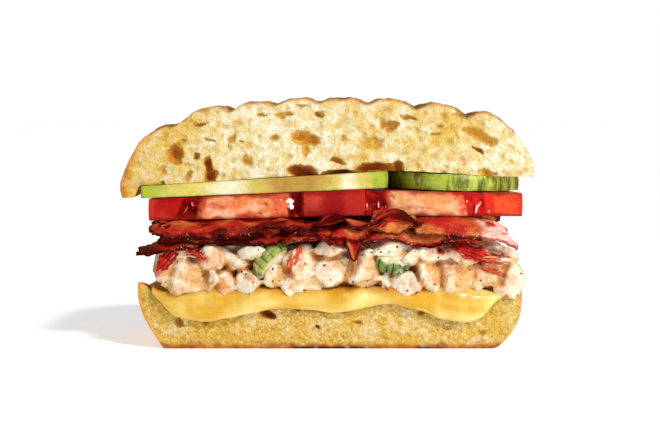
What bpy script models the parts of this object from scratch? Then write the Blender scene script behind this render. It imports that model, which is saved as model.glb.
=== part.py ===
"""Half of a grilled crab melt: a pressed ciabatta roll, cut across, with its cut face at the front (-Y).

From the base up: bread, melted cheese, crab salad with celery, bacon, tomato, avocado, bread. Each piece
is its own closed solid, and every piece keeps a gap of about 0.3 mm to the next. Origin: middle of the
flat base, +X along the cut face, +Y into the roll, +Z up.
"""

import math
import random

import bmesh
import bpy
from mathutils import Matrix, Vector

MM = 0.001

# Driving sizes, in millimetres.
CUT_Y = -32.0  # the plane that the knife cut through the breads
BACK_Y = 33.0  # the furthest point of the roll's crust
HALF_LENGTH = 66.0  # half the roll's length along the cut
CROWN_Z = 80.6  # top of the crust, half way along
GAP = 0.35  # air between neighbouring pieces

GROOVES = (-51.5, -31.2, -17.3, -2.6, 12.8, 28.2, 43.5)  # where the press's ribs met the crust, along X
GROOVE_DEPTH = 1.9
GROOVE_HALF_WIDTH = 2.7

CHEESE_THICK = 3.4
BACON_THICK = 1.9

# Bubbles that open on the cut faces: along X, height, half width, half height, depth into the crumb.
TOP_BUBBLES = (
    (-50.2, 66.6, 2.5, 3.0, 4.5),
    (-38.6, 54.6, 1.9, 3.6, 4.0),
    (-43.4, 65.8, 1.3, 1.3, 2.0),
    (-40.5, 75.0, 3.2, 1.2, 2.0),
    (-32.4, 70.2, 1.9, 1.3, 2.2),
    (-9.2, 71.2, 4.4, 2.6, 3.6),
    (-8.6, 58.2, 5.4, 2.2, 4.2),
    (21.0, 74.6, 3.4, 1.7, 2.6),
    (17.2, 57.8, 5.0, 1.6, 3.6),
    (41.6, 71.0, 5.0, 2.0, 3.2),
    (45.2, 66.2, 2.6, 1.7, 2.6),
    (49.4, 57.4, 4.2, 1.5, 2.2),
)
BASE_BUBBLES = (
    (-19.2, 12.4, 2.5, 1.4, 3.4),
    (-49.6, 9.2, 1.6, 2.0, 2.4),
    (-11.0, 14.2, 2.3, 1.2, 2.0),
    (11.6, 6.8, 2.4, 0.9, 1.8),
)

# Lobes of the cheese that hang over the cut edge: middle along X, half width, how far they hang.
CHEESE_LOBES = ((-40.0, 15.0, 4.4), (3.5, 11.0, 1.7), (42.0, 11.5, 4.8))

# Lumps of crab that show at the cut: along X, height, half width, half height.
FRONT_LUMPS = (
    (-53.5, 28.5, 5.0, 6.5),
    (-48.6, 32.2, 4.4, 2.8),
    (-29.6, 33.4, 3.8, 2.2),
    (-4.0, 32.4, 4.6, 3.2),
    (9.6, 31.6, 4.0, 2.4),
    (32.4, 32.0, 4.4, 3.0),
    (-44.5, 24.6, 8.2, 7.6),
    (-41.0, 31.5, 8.5, 4.8),
    (-33.2, 22.4, 4.8, 5.2),
    (-28.2, 29.6, 6.6, 5.0),
    (-26.4, 21.4, 4.6, 4.0),
    (-9.0, 27.6, 6.8, 6.6),
    (-8.6, 21.6, 6.6, 4.2),
    (3.0, 26.2, 6.2, 6.2),
    (11.0, 26.0, 5.2, 6.0),
    (23.4, 22.4, 5.0, 5.6),
    (32.0, 26.0, 4.2, 7.2),
    (43.2, 24.0, 7.6, 6.8),
    (46.0, 31.0, 8.2, 3.6),
    (54.8, 27.2, 6.2, 5.6),
    (58.6, 20.6, 3.6, 5.0),
)


def smooth_step(low, high, value):
    """0 below low, 1 above high, an S curve between."""
    share = min(1.0, max(0.0, (value - low) / (high - low)))
    return share * share * (3 - 2 * share)


def mix(a, b, share):
    return a + (b - a) * share


def bell(value, middle, half_width):
    return math.exp(-(((value - middle) / half_width) ** 2))


# ---- heights of the layers, in millimetres ----


def crust_height(x):
    """The roll's crown with the grooves pressed into it."""
    crown = CROWN_Z - 12.5 * (abs(x) / HALF_LENGTH) ** 3
    outer = 1 + 0.35 * smooth_step(40, 50, abs(x))
    return crown - sum(outer * GROOVE_DEPTH * bell(x, g, GROOVE_HALF_WIDTH) for g in GROOVES)


def lid_height(x):
    """The underside of the top bread, which leans up towards the middle of the right side."""
    left = mix(52.7, 57.6, smooth_step(-75, 30, x))
    right = mix(57.6, 55.7, smooth_step(18, 62, x))
    lip = 3.9 * smooth_step(-60.9, -63.2, x)
    return (left if x < 18 else right) - lip


def base_height(x):
    """The top of the bottom bread: a rim at each end, pressed down between."""
    rims = 7.6 * bell(x, -61.5, 5.6) + 6.4 * bell(x, 62.0, 7.0)
    return 14.3 + 1.2 * bell(x, 18.0, 9.0) + rims


# ---- shapes ----


def cut_box(counts):
    """A unit box, its edges cut into counts pieces along X, Y and Z."""
    bm = bmesh.new()
    bmesh.ops.create_cube(bm, size=1.0, matrix=Matrix.Translation((0.5, 0.5, 0.5)))
    for axis, count in enumerate(counts):
        if count > 1:
            along = [e for e in bm.edges if abs((e.verts[0].co - e.verts[1].co)[axis]) > 1e-4]
            bmesh.ops.subdivide_edges(bm, edges=along, cuts=count - 1, use_grid_fill=True)
    return bm


def material(name, colour, roughness):
    made = bpy.data.materials.new(name)
    made.use_nodes = True
    shader = made.node_tree.nodes["Principled BSDF"]
    shader.inputs["Base Color"].default_value = (*colour, 1.0)
    shader.inputs["Roughness"].default_value = roughness
    shader.inputs["Metallic"].default_value = 0.0
    return made


def object_of(name, bm, finish):
    """An object at the origin from a bmesh in millimetres."""
    bmesh.ops.scale(bm, vec=(MM, MM, MM), verts=bm.verts)
    bmesh.ops.recalc_face_normals(bm, faces=bm.faces)
    mesh = bpy.data.meshes.new(name)
    bm.to_mesh(mesh)
    bm.free()
    mesh.shade_smooth()
    mesh.set_sharp_from_angle(angle=math.radians(40))
    made = bpy.data.objects.new(name, mesh)
    bpy.context.scene.collection.objects.link(made)
    if finish is not None:
        mesh.materials.append(finish)
    return made


def shaped(name, counts, place, finish=None):
    """A box whose points (u, v, w), each from 0 to 1, are moved to place(u, v, w)."""
    bm = cut_box(counts)
    for vertex in bm.verts:
        vertex.co = Vector(place(*vertex.co))
    return object_of(name, bm, finish)


def helper_collection(name, members):
    """A collection of cutters or lumps, out of the scene's render."""
    group = bpy.data.collections.new(name)
    bpy.context.scene.collection.children.link(group)
    for member in members:
        bpy.context.scene.collection.objects.unlink(member)
        group.objects.link(member)
        member.hide_render = True
        member.display_type = "WIRE"
    return group


def boolean(obj, members, operation, solver):
    """One Boolean with a collection of solids, applied, and the solids then removed."""
    group = helper_collection(f"{obj.name}_{operation.lower()}", members)
    step = obj.modifiers.new(operation.title(), "BOOLEAN")
    step.operation = operation
    step.solver = solver
    step.operand_type = "COLLECTION"
    step.collection = group
    graph = bpy.context.evaluated_depsgraph_get()
    result = bpy.data.meshes.new_from_object(obj.evaluated_get(graph))
    obj.modifiers.remove(step)
    obj.data = result
    for member in members:
        bpy.data.objects.remove(member)
    bpy.data.collections.remove(group)


def keep_largest_body(obj):
    """Drops the loose scraps that a cut leaves, and merges points that all but coincide."""
    bm = bmesh.new()
    bm.from_mesh(obj.data)
    bmesh.ops.remove_doubles(bm, verts=bm.verts, dist=0.000004)
    bodies = []
    unseen = set(bm.verts)
    while unseen:
        stack = [unseen.pop()]
        body = set(stack)
        while stack:
            for edge in stack.pop().link_edges:
                for vertex in edge.verts:
                    if vertex in unseen:
                        unseen.remove(vertex)
                        body.add(vertex)
                        stack.append(vertex)
        bodies.append(body)
    largest = max(bodies, key=len)
    bmesh.ops.delete(bm, geom=[v for v in bm.verts if v not in largest], context="VERTS")
    bmesh.ops.triangulate(bm, faces=bm.faces, ngon_method="EAR_CLIP")
    bm.to_mesh(obj.data)
    bm.free()


def lump(name, middle, radii, seed, wobble=0.14, subdivisions=2, squareness=2.0):
    """A ball stretched to radii, with a seeded unevenness; a squareness above 2 gives it corners."""
    rng = random.Random(seed)
    waves = [(rng.uniform(0, math.tau), rng.uniform(0.8, 1.9)) for _ in range(3)]
    turn = Matrix.Rotation(rng.uniform(-0.6, 0.6), 3, "Y")
    bm = bmesh.new()
    bmesh.ops.create_icosphere(bm, subdivisions=subdivisions, radius=1.0)
    for vertex in bm.verts:
        way = vertex.co.normalized()
        swell = sum(math.sin(rate * 3 * way[axis] + phase) for axis, (phase, rate) in enumerate(waves))
        corners = sum(abs(part) ** squareness for part in turn @ way) ** (-1 / squareness)
        reach = corners * (1 + wobble * swell / 1.5)
        vertex.co = Vector(middle) + Vector([way[axis] * radii[axis] * reach for axis in range(3)])
    return object_of(name, bm, None)


def bubble_cutters(bubbles, seed):
    """Flattened balls half sunk in the cut face."""
    return [
        lump(f"bubble_{i}", (x, CUT_Y, z), (half_x, depth, half_z), seed + i, 0.16, 2 if half_x > 3 else 1)
        for i, (x, z, half_x, half_z, depth) in enumerate(bubbles)
    ]


# ---- the breads ----


def spread(share):
    """-1 to 1 across a piece, with its columns a little closer together at the ends."""
    side = 2 * share - 1
    return 0.6 * side + 0.4 * math.sin(side * math.pi / 2)


def back_wall(side, height_share, reach, lean):
    """How far back the crust reaches: rounded in plan, and leaning as it rises."""
    corner = 9.0 * abs(side) ** 7
    return reach - corner - lean * height_share


def top_bread(finish):
    def place(u, v, w):
        side = spread(u)
        left = -66.1 + 12.0 * smooth_step(0.25, 1.35, w)
        right = 64.4 - 7.2 * smooth_step(0.2, 1.3, w)
        x = mix(left, right, (side + 1) / 2)
        x += (1 - w) * 0.8 * side
        floor = lid_height(x)
        roof = crust_height(mix(-57.0, 58.5, (side + 1) / 2))
        v = 1 - (1 - v) ** 1.35
        fall = 9.5 * v**9 + 2.0 * abs(side) ** 6 * v
        z = mix(floor, roof - fall, w)
        y = CUT_Y + v * (back_wall(side, w**3, BACK_Y, 7.5) - CUT_Y)
        return x * (1 - 0.05 * v**3), y, z

    bread = shaped("bread_top", (32, 8, 5), place, finish)
    boolean(bread, bubble_cutters(TOP_BUBBLES, 3), "DIFFERENCE", "MANIFOLD")
    keep_largest_body(bread)
    return bread


def bottom_bread(finish):
    def place(u, v, w):
        side = spread(u)
        left = mix(-53.6, -61.9, math.sin(math.pi / 2 * min(1.0, w * 1.15)))
        right = mix(51.2, 61.8, math.sin(math.pi / 2 * min(1.0, w * 1.3)) ** 0.7)
        x = mix(left, right, (side + 1) / 2)
        z = w * base_height(mix(-61.9, 61.8, (side + 1) / 2))
        z += w * 5.0 * smooth_step(0.86, 1.0, v) * (1 - 0.7 * abs(side) ** 4)
        y = CUT_Y + v * (back_wall(side, (1 - w) ** 2, BACK_Y - 1.5, 7.0) - CUT_Y)
        return x * (1 - 0.05 * v**3), y, z

    bread = shaped("bread_bottom", (26, 7, 4), place, finish)
    boolean(bread, bubble_cutters(BASE_BUBBLES, 40), "DIFFERENCE", "MANIFOLD")
    keep_largest_body(bread)
    return bread


# ---- the fillings ----


def cheese_point(x, run, lift):
    """A point of the cheese: run is the way along its middle, from the back to over the cut edge and down,
    and lift the height above the bread."""
    top = base_height(x)
    back = 20.5 - 11.0 * (abs(x) / 61.9) ** 6
    hang = 0.7 + sum(drop * bell(x, middle, width) for middle, width, drop in CHEESE_LOBES)
    hang *= 1 - 0.9 * smooth_step(49.0, 55.0, abs(x - 0.4))
    back_run = back - CUT_Y
    turn_run = 4.0
    along = run * (back_run + turn_run + hang)
    if along < back_run:
        return x, back - along, top + lift
    if along < back_run + turn_run:
        angle = math.pi / 2 * (along - back_run) / turn_run
        return x, CUT_Y - lift * math.sin(angle), top + lift * math.cos(angle)
    return x, CUT_Y - lift, top - (along - back_run - turn_run)


def cheese(name, finish, grow=0.0):
    def place(u, v, w):
        side = spread(u)
        x = mix(-54.6 - grow, 55.4 + grow, (side + 1) / 2)
        run = v**0.62
        rim = 1 - 0.45 * smooth_step(0.93, 1.0, run) - 0.35 * abs(side) ** 8
        under = GAP + 0.3 + 0.7 * side**6 - 1.5 * grow
        return cheese_point(x, run, mix(under, under + CHEESE_THICK * rim + 2.5 * grow, w))

    return shaped(name, (22, 8, 1), place, finish)


def through(points, x):
    """A smooth curve through (x, height) points, level beyond both ends."""
    if x <= points[0][0]:
        return points[0][1]
    for (x0, z0), (x1, z1) in zip(points, points[1:]):
        if x <= x1:
            return mix(z0, z1, smooth_step(x0, x1, x))
    return points[-1][1]


def bacon_strip(name, finish, spec, grow=0.0):
    """A wavy rasher. spec has the points its front edge runs through, along X and in height, its front and back
    edges along Y, the height of its back half, and how deep the ripples of the front edge reach."""
    edge, y0, y1, back_height, reach = spec
    x0, x1 = edge[0][0], edge[-1][0]

    def middle_height(x, y):
        ripple = 0.35 * math.sin(0.35 * x + y0)
        return mix(through(edge, x), back_height + ripple, smooth_step(y0, y0 + reach, y))

    def place(u, v, w):
        x = mix(x0 - grow, x1 + grow, u)
        y = mix(y0 - grow, y1 + grow, v**1.7)
        z = middle_height(x, y)
        angle = math.atan((middle_height(x + 0.2, y) - middle_height(x - 0.2, y)) / 0.4)
        off = (w - 0.5) * (BACON_THICK + 2 * grow)
        wander = 0.6 * math.sin(x * 0.31 + y0)
        return x - math.sin(angle) * off, y + wander, z + math.cos(angle) * off

    return shaped(name, (22 if y0 < -20 else 12, 3, 1), place, finish)


# Front edge through (along X, height), its place and the back edge's along Y, height behind, reach of the ripples.
BACON_STRIPS = {
    "bacon_upper_left": (((-57.0, 37.9), (-47.0, 37.0), (-36.0, 36.7), (-25.0, 37.9), (-15.6, 38.6)), -36.2, -7.5, 39.8, 9.0),
    "bacon_humped": (
        ((-14.0, 37.6), (-7.5, 40.2), (1.6, 43.6), (9.6, 37.7), (20.6, 44.6), (27.6, 39.4)),
        -37.6,
        -7.5,
        40.6,
        5.0,
    ),
    "bacon_upper_right": (((29.4, 37.0), (38.0, 36.0), (47.0, 36.2), (53.6, 35.6), (59.6, 32.8)), -37.4, -7.5, 40.8, 8.0),
    "bacon_middle_left": (((-55.8, 34.4), (-46.0, 35.0), (-36.0, 34.3), (-25.0, 35.4)), -35.0, -8.5, 37.2, 8.0),
    "bacon_middle_right": (
        ((-15.0, 34.8), (-5.0, 36.2), (2.0, 36.0), (7.4, 33.6), (14.0, 35.8), (21.4, 33.8), (30.0, 34.4), (48.0, 33.7)),
        -36.4,
        -8.5,
        37.4,
        6.5,
    ),
    "bacon_lower_left": (((-61.2, 30.0), (-55.0, 31.1), (-48.0, 31.9), (-42.0, 31.6)), -36.0, -14.0, 34.2, 9.0),
    "bacon_back_left": (((-57.0, 38.6), (-44.0, 39.8), (-24.0, 39.0), (-2.0, 39.6)), 28.2, -4.8, 39.9, -9.0),
    "bacon_back_right": (((0.5, 39.4), (16.0, 38.9), (34.0, 39.9), (57.0, 38.6)), 28.0, -4.8, 40.0, -9.0),
    "bacon_back_under": (((-52.0, 34.9), (-30.0, 36.4), (0.0, 35.4), (24.0, 36.4), (51.0, 34.9)), 29.2, -5.0, 36.7, -9.0),
}


def half_disc(name, finish, middle, radius, front, depth, floor, roof, counts, recess=None, back=False):
    """A slice with a straight front edge, or a straight back edge where back is set.
    floor and roof are heights along X."""

    def place(u, v, w):
        side = 2 * u - 1
        share = v if not back else 1 - v
        x = middle + radius * side * math.sqrt(1 - share * share / 2)
        bulge = 0.9 * math.sin(math.pi * w) * max(share, abs(side) ** 6)
        reach = share * math.sqrt(1 - side * side / 2) * (depth + bulge)
        x += 0.5 * bulge * side
        y = front + reach if not back else front + depth - reach
        if recess is not None and v == 0:
            y += recess(x) * math.sin(math.pi * mix(0.12, 0.88, w))
        return x, y, mix(floor(x), roof(x), w)

    return shaped(name, counts, place, finish)


def slope(x0, z0, x1, z1):
    """A straight height between two places along X, carried on past both."""
    return lambda x: z0 + (z1 - z0) * (x - x0) / (x1 - x0)


def tomato_slices(finish):
    left_floor, left_roof = slope(-58, 41.4, 11, 43.0), slope(-58, 48.2, 11, 51.3)
    right_floor, right_roof = slope(12, 43.0, 61, 42.8), slope(12, 51.0, 61, 50.0)

    def left_recess(x):
        return 2.2 * bell(x, -43.4, 1.9) + 3.0 * bell(x, -13.0, 3.6)

    def right_recess(x):
        return 2.6 * bell(x, 14.4, 2.2) + 2.2 * bell(x, 42.6, 2.0)

    half_disc("tomato_left", finish, -23.4, 34.6, -32.6, 31.0, left_floor, left_roof, (16, 4, 2), left_recess)
    half_disc("tomato_right", finish, 36.8, 24.6, -32.6, 30.0, right_floor, right_roof, (14, 4, 2), right_recess)
    half_disc("tomato_back_left", finish, -27.0, 28.0, 0.2, 27.6, left_floor, left_roof, (10, 4, 1))
    half_disc("tomato_back_right", finish, 30.0, 27.6, 0.0, 27.6, right_floor, right_roof, (10, 4, 1))


def avocado_slices(finish):
    left_floor, left_roof = slope(-60.5, 48.7, 18.5, 52.1), slope(-60.5, 52.2, 18.5, 56.9)
    right_floor, right_roof = slope(18.5, 51.6, 60, 50.6), slope(18.5, 56.4, 60, 55.3)
    half_disc("avocado_left", finish, -21.0, 39.4, -32.8, 27.0, left_floor, left_roof, (14, 4, 2))
    half_disc("avocado_right", finish, 39.6, 20.4, -32.4, 27.0, right_floor, right_roof, (12, 4, 2), back=True)
    half_disc("avocado_back_left", finish, -24.0, 34.0, -3.0, 30.0, left_floor, left_roof, (10, 4, 1))
    half_disc("avocado_back_right", finish, 38.6, 20.0, -2.6, 28.0, right_floor, right_roof, (10, 4, 1))


# Each slice: its middle, the turn of its outer skin from straight up, and its tilts, in degrees.
CELERY = {"celery_left": ((-19.0, -32.6, 28.6), -58.0, 12.0), "celery_right": ((19.6, -31.4, 28.8), 6.0, 110.0)}
CELERY_OUTER = 13.0
CELERY_INNER = 6.6
CELERY_THICK = 4.4
CELERY_SWEEP = 68.0


def celery_slice(name, finish, grow=0.0):
    """A crescent cut across a stalk: its outer skin is the long arc."""
    middle, turn, tilt = CELERY[name]
    centre_radius = (CELERY_OUTER + CELERY_INNER) / 2
    turned = Matrix.Rotation(math.radians(turn), 3, "Y")
    tilted = Matrix.Rotation(math.radians(tilt), 3, turned @ Vector((1, 0, 0)))

    def place(u, v, w):
        side = 2 * u - 1
        angle = math.radians(side * (CELERY_SWEEP / 2 + math.degrees(grow / centre_radius)))
        thin = 1 - 0.35 * side * side
        radius = centre_radius + (w - 0.5) * ((CELERY_OUTER - CELERY_INNER) * thin + 2 * grow)
        rib = 0.25 * math.cos(side * 14) * (w == 1)
        local = Vector((math.sin(angle), 0, math.cos(angle))) * (radius + rib)
        local.z -= centre_radius
        local.y = (v - 0.5) * (CELERY_THICK + 2 * grow)
        return Vector(middle) + tilted @ (turned @ local)

    return shaped(name, (10, 1, 2), place, finish)


def salad_lumps():
    """The lumps that show at the cut, then a seeded ring of lumps round the sides and the back."""
    made = []
    for i, (x, z, half_x, half_z) in enumerate(FRONT_LUMPS):
        made.append(lump(f"front_lump_{i}", (x, -28.6, z), (half_x, 6.4, half_z), 100 + i, 0.16, 2 if half_z > 4 else 1, 2.8))
    rng = random.Random(11)
    sides = [(-52.0, y) for y in (-16, -4, 8)] + [(54.0, y) for y in (-16, -4, 8)]
    rear = [(x, 17.0 - 4.0 * (abs(x) / 50) ** 4) for x in range(-48, 52, 12)]
    for i, (x, y) in enumerate(sides + rear):
        radii = (rng.uniform(5.2, 7.4), rng.uniform(5.2, 7.4), rng.uniform(5.6, 7.4))
        middle = (x + rng.uniform(-1, 1), y + rng.uniform(-1, 1), rng.uniform(24.5, 27.5))
        made.append(lump(f"ring_lump_{i}", middle, radii, 200 + i, 0.16, 1, 2.8))
    return made


def crab_salad(finish):
    """A core that fills the layer, the lumps fused to it, and its neighbours cut out of it."""

    def place(u, v, w):
        x = mix(-52.0, 54.0, u)
        y = mix(-30.0, 19.0 - 5.0 * abs(2 * u - 1) ** 6, v)
        return x, y, mix(base_height(x) + 1.0, 34.8, w)

    salad = shaped("crab_salad", (8, 3, 1), place, finish)
    boolean(salad, salad_lumps(), "UNION", "MANIFOLD")
    cutters = [cheese("cheese_room", None, GAP)]
    cutters += [bacon_strip(f"{n}_room", None, spec, GAP) for n, spec in BACON_STRIPS.items()]
    cutters += [celery_room(n) for n in CELERY]
    cutters += [bread_room(), roof_room()]
    for cutter in cutters:
        boolean(salad, [cutter], "DIFFERENCE", "MANIFOLD")
    keep_largest_body(salad)
    return salad


def celery_room(name):
    made = celery_slice(name, None, GAP)
    made.name = f"{name}_room"
    return made


def bread_room():
    """What the bottom bread and its rims take up, with the gap."""

    def place(u, v, w):
        x = mix(-75.0, 75.0, u)
        y = mix(CUT_Y - GAP, 45.0, v)
        rear = 5.0 * smooth_step(20.0, 31.5, y)
        return x, y, mix(-5.0, base_height(x) + rear + GAP + 0.4, w)

    return shaped("bread_room", (30, 8, 1), place)


def roof_room():
    """The space above the salad, under the tomato."""
    return shaped("roof_room", (1, 1, 1), lambda u, v, w: (mix(-75, 75, u), mix(-50, 50, v), mix(38.0, 60.0, w)))


def main():
    for old in list(bpy.data.objects):
        bpy.data.objects.remove(old)
    crumb = material("toasted_crumb", (0.80, 0.58, 0.24), 0.85)
    top_bread(crumb)
    bottom_bread(crumb)
    cheese("cheese", material("melted_cheese", (0.86, 0.58, 0.14), 0.35))
    crab_salad(material("crab_in_mayonnaise", (0.84, 0.64, 0.42), 0.45))
    green = material("celery", (0.45, 0.55, 0.20), 0.4)
    for name in CELERY:
        celery_slice(name, green)
    cured = material("bacon", (0.36, 0.07, 0.03), 0.35)
    for name, spec in BACON_STRIPS.items():
        bacon_strip(name, cured, spec)
    tomato_slices(material("tomato", (0.62, 0.08, 0.04), 0.3))
    avocado_slices(material("avocado", (0.62, 0.62, 0.20), 0.5))


main()
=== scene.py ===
"""Half of a grilled crab melt, dressed: bread, melted cheese, crab salad, celery, bacon, tomato, avocado.

Shapes are worked out in millimetres, +X along the cut, +Y into the roll, +Z up, and made metres at the end.
Colours written as 0 to 255 are as a screen shows them. On a piece, u, v and w run from 0 to 1 along X, Y and Z.
"""

import math
import random

import bmesh
import bpy
import numpy as np
from mathutils import Matrix, Vector
from mathutils.bvhtree import BVHTree


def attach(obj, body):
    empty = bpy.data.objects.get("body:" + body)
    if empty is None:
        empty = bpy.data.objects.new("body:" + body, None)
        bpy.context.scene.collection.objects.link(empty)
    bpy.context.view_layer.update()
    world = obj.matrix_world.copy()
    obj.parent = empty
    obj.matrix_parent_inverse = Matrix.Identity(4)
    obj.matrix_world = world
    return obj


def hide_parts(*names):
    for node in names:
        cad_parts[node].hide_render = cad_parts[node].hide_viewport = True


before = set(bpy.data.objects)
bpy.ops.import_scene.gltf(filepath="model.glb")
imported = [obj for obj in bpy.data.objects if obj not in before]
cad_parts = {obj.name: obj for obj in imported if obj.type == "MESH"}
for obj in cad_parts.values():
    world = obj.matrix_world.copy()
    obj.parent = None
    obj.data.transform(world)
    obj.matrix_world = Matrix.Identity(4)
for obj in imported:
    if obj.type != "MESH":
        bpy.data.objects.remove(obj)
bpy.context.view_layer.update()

MM = 0.001

# The roll and its layers, as the solids have them.
CUT_Y = -32.0
BACK_Y = 33.0
# How far behind the cut the crumb's relief reaches.
RELIEF = 12.0
# Where the crown and the base's rims end along X.
CROWN_ENDS = (-54.4, 58.5)
BASE_ENDS = (-61.9, 61.8)

# The crown's outline at the cut, between its char grooves: along X, height.
CROWN = (
    (-54.4, 71.0), (-51.5, 73.0), (-47.5, 74.2), (-42.5, 76.9), (-37.8, 78.0), (-21.8, 79.6), (-8.6, 80.6),
    (3.2, 80.6), (17.9, 80.3), (33.9, 79.0), (48.6, 76.6), (53.1, 75.2), (55.7, 72.8), (58.5, 70.2),
)
# The lid's left end at the cut: share of its height, along X.
LEFT_END = (
    (0.0, -66.0), (0.1, -66.7), (0.22, -66.8), (0.37, -65.6), (0.48, -64.6), (0.63, -63.0), (0.74, -61.0),
    (0.83, -59.4), (0.91, -57.2), (1.0, -54.4),
)
# Grooves over the crown: along X, half width, depth.
GROOVES = (
    (-48.4, 3.2, 1.7), (-31.4, 2.4, 2.0), (-17.0, 2.4, 1.2), (-3.2, 2.4, 1.1), (12.2, 2.5, 1.4), (27.8, 2.8, 1.9),
    (44.2, 3.0, 2.3),
)
# Where the crust is charred along the cut: along X, half width, how much.
CHAR_MARKS = (
    (-57.0, 2.4, 0.6), (-49.0, 3.4, 0.9), (-31.2, 1.8, 0.8), (-16.2, 2.2, 0.9), (-3.0, 1.4, 0.4), (4.6, 1.4, 0.5),
    (12.6, 1.8, 0.5), (27.8, 3.0, 1.0), (43.0, 2.8, 0.8), (56.0, 2.0, 0.4),
)

CHEESE_ENDS = (-57.2, 55.6)
CHEESE_THICK = 2.7
# How long the cheese takes to turn over the front edge, and how far its lip is rounded.
CHEESE_TURN = 4.0
CHEESE_LIP = 2.4
# Where the cheese hangs down in lobes: along X, half width, drop.
CHEESE_LOBES = ((-40.0, 15.0, 4.4), (3.5, 11.0, 1.7), (42.0, 11.5, 4.8))
# Pools of painted soft highlight on it: along X, half width, how pale.
CHEESE_LIGHT_POOLS = (
    (-47.6, 3.0, 0.5), (-27.0, 4.6, 0.6), (-3.0, 5.2, 0.5), (10.6, 3.6, 0.9), (35.0, 2.6, 0.8), (47.0, 8.6, 1.5),
)

# Bubbles open at the cut: along X, height, half width, half height, depth, turn in degrees.
TOP_BUBBLES = (
    (-49.6, 63.0, 3.1, 3.4, 3.9, 10), (-42.8, 62.2, 1.3, 1.3, 2.8, 0), (-41.4, 72.2, 2.6, 0.8, 2.0, -12),
    (-38.6, 67.6, 1.7, 0.6, 1.4, 12), (-38.9, 58.6, 1.7, 3.2, 4.4, 0), (-38.2, 55.6, 2.6, 2.6, 4.4, 0),
    (-53.8, 57.4, 1.3, 2.4, 1.4, 4), (-45.4, 55.6, 1.2, 2.1, 1.6, -8), (-53.4, 53.4, 1.2, 1.0, 1.4, 20),
    (-47.8, 66.6, 1.8, 0.7, 1.2, -20), (-31.6, 67.0, 1.0, 2.0, 2.0, 50), (-28.6, 66.6, 0.7, 0.7, 1.2, 0),
    (-26.6, 61.2, 1.9, 1.5, 1.7, 0), (-17.9, 67.9, 1.7, 1.3, 1.8, 0), (-8.0, 67.9, 5.0, 2.5, 2.9, 10),
    (-7.6, 64.0, 1.7, 1.9, 1.8, 0), (-21.8, 75.1, 2.0, 0.6, 1.4, 8), (-15.0, 74.9, 3.5, 0.8, 1.7, -4),
    (-8.5, 77.8, 2.0, 0.7, 1.2, 0), (-3.1, 75.4, 1.9, 1.4, 2.2, 10), (13.6, 66.1, 3.6, 2.1, 1.6, 0),
    (18.8, 72.2, 3.4, 1.4, 2.4, -4), (19.6, 70.8, 1.8, 1.1, 2.6, 0), (25.1, 74.6, 3.2, 1.0, 1.9, 18),
    (4.4, 68.0, 1.4, 1.1, 1.2, 0), (16.6, 76.6, 1.6, 0.8, 1.0, 0), (47.4, 69.0, 6.0, 1.6, 2.2, 22),
    (51.0, 67.2, 2.6, 1.4, 2.0, 10), (47.7, 64.2, 2.7, 1.0, 2.6, 36), (35.1, 71.7, 1.5, 0.6, 1.0, 0),
    (34.0, 69.3, 2.2, 0.6, 1.5, -6), (41.6, 75.0, 3.0, 0.8, 1.2, 12), (-8.8, 57.2, 5.0, 2.5, 5.0, 4),
    (2.2, 60.6, 2.7, 1.0, 3.0, 14), (4.0, 56.8, 7.0, 1.1, 4.4, 2), (14.6, 58.0, 8.0, 1.5, 4.8, -2),
    (21.8, 58.6, 2.2, 1.7, 4.6, 0), (50.6, 56.8, 3.4, 1.2, 2.2, 4),
)
BASE_BUBBLES = (
    (-48.7, 8.6, 1.5, 1.9, 2.4, 0), (-39.6, 8.6, 1.1, 1.5, 1.5, 0), (-19.9, 11.0, 2.9, 1.3, 4.4, 18),
    (-10.2, 13.4, 1.6, 0.9, 1.8, 14), (-1.6, 13.2, 1.7, 0.9, 1.6, 14), (-3.9, 6.8, 0.8, 0.7, 2.4, 0),
    (9.0, 8.4, 2.2, 0.8, 1.6, 0), (29.8, 11.7, 1.5, 0.9, 1.8, 0), (38.0, 6.6, 1.3, 0.7, 1.2, 0),
    (48.6, 4.6, 1.6, 0.8, 1.2, 0),
)

# Lumps of crab at the cut: along X, height, half width, half height, how white, how yellow (0 to 1).
FRONT_LUMPS = (
    (-52.9, 26.6, 4.2, 5.6, 0.5, 0.3), (-46.6, 23.6, 6.6, 5.9, 0.35, 0.7), (-48.6, 31.4, 4.8, 3.2, 0.8, 0.1),
    (-38.6, 30.0, 5.4, 4.4, 0.65, 0.3), (-37.8, 23.0, 3.4, 4.0, 0.3, 0.6), (-33.6, 21.6, 3.9, 4.6, 0.3, 0.8),
    (-30.6, 28.0, 4.8, 3.2, 0.3, 0.8), (-26.0, 31.2, 4.4, 2.6, 0.55, 0.5), (-26.0, 21.4, 4.6, 3.8, 0.4, 0.8),
    (-17.4, 23.4, 3.6, 4.2, 0.5, 0.5), (-9.4, 20.8, 6.8, 4.2, 1.0, 0.0), (-9.4, 28.6, 6.4, 5.6, 0.7, 0.3),
    (0.6, 25.6, 6.2, 6.6, 0.45, 0.7), (1.4, 32.4, 5.0, 2.8, 0.6, 0.3), (11.4, 25.4, 6.4, 6.4, 0.65, 0.4),
    (17.8, 21.8, 2.2, 4.6, 1.0, 0.0), (24.2, 21.2, 4.9, 4.8, 1.0, 0.0), (19.8, 32.0, 8.4, 2.8, 1.0, 0.0),
    (30.8, 24.0, 4.0, 6.2, 0.7, 0.4), (31.0, 31.4, 5.0, 3.6, 0.9, 0.1), (40.8, 22.6, 7.9, 6.9, 0.5, 0.7),
    (43.6, 30.6, 8.4, 3.8, 0.8, 0.1), (51.6, 24.2, 4.8, 5.2, 0.8, 0.4), (55.6, 28.8, 4.6, 3.6, 0.8, 0.2),
    (58.8, 22.8, 3.6, 5.8, 0.9, 0.1), (27.2, 29.4, 3.8, 3.6, 1.0, 0.0),
)


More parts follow.
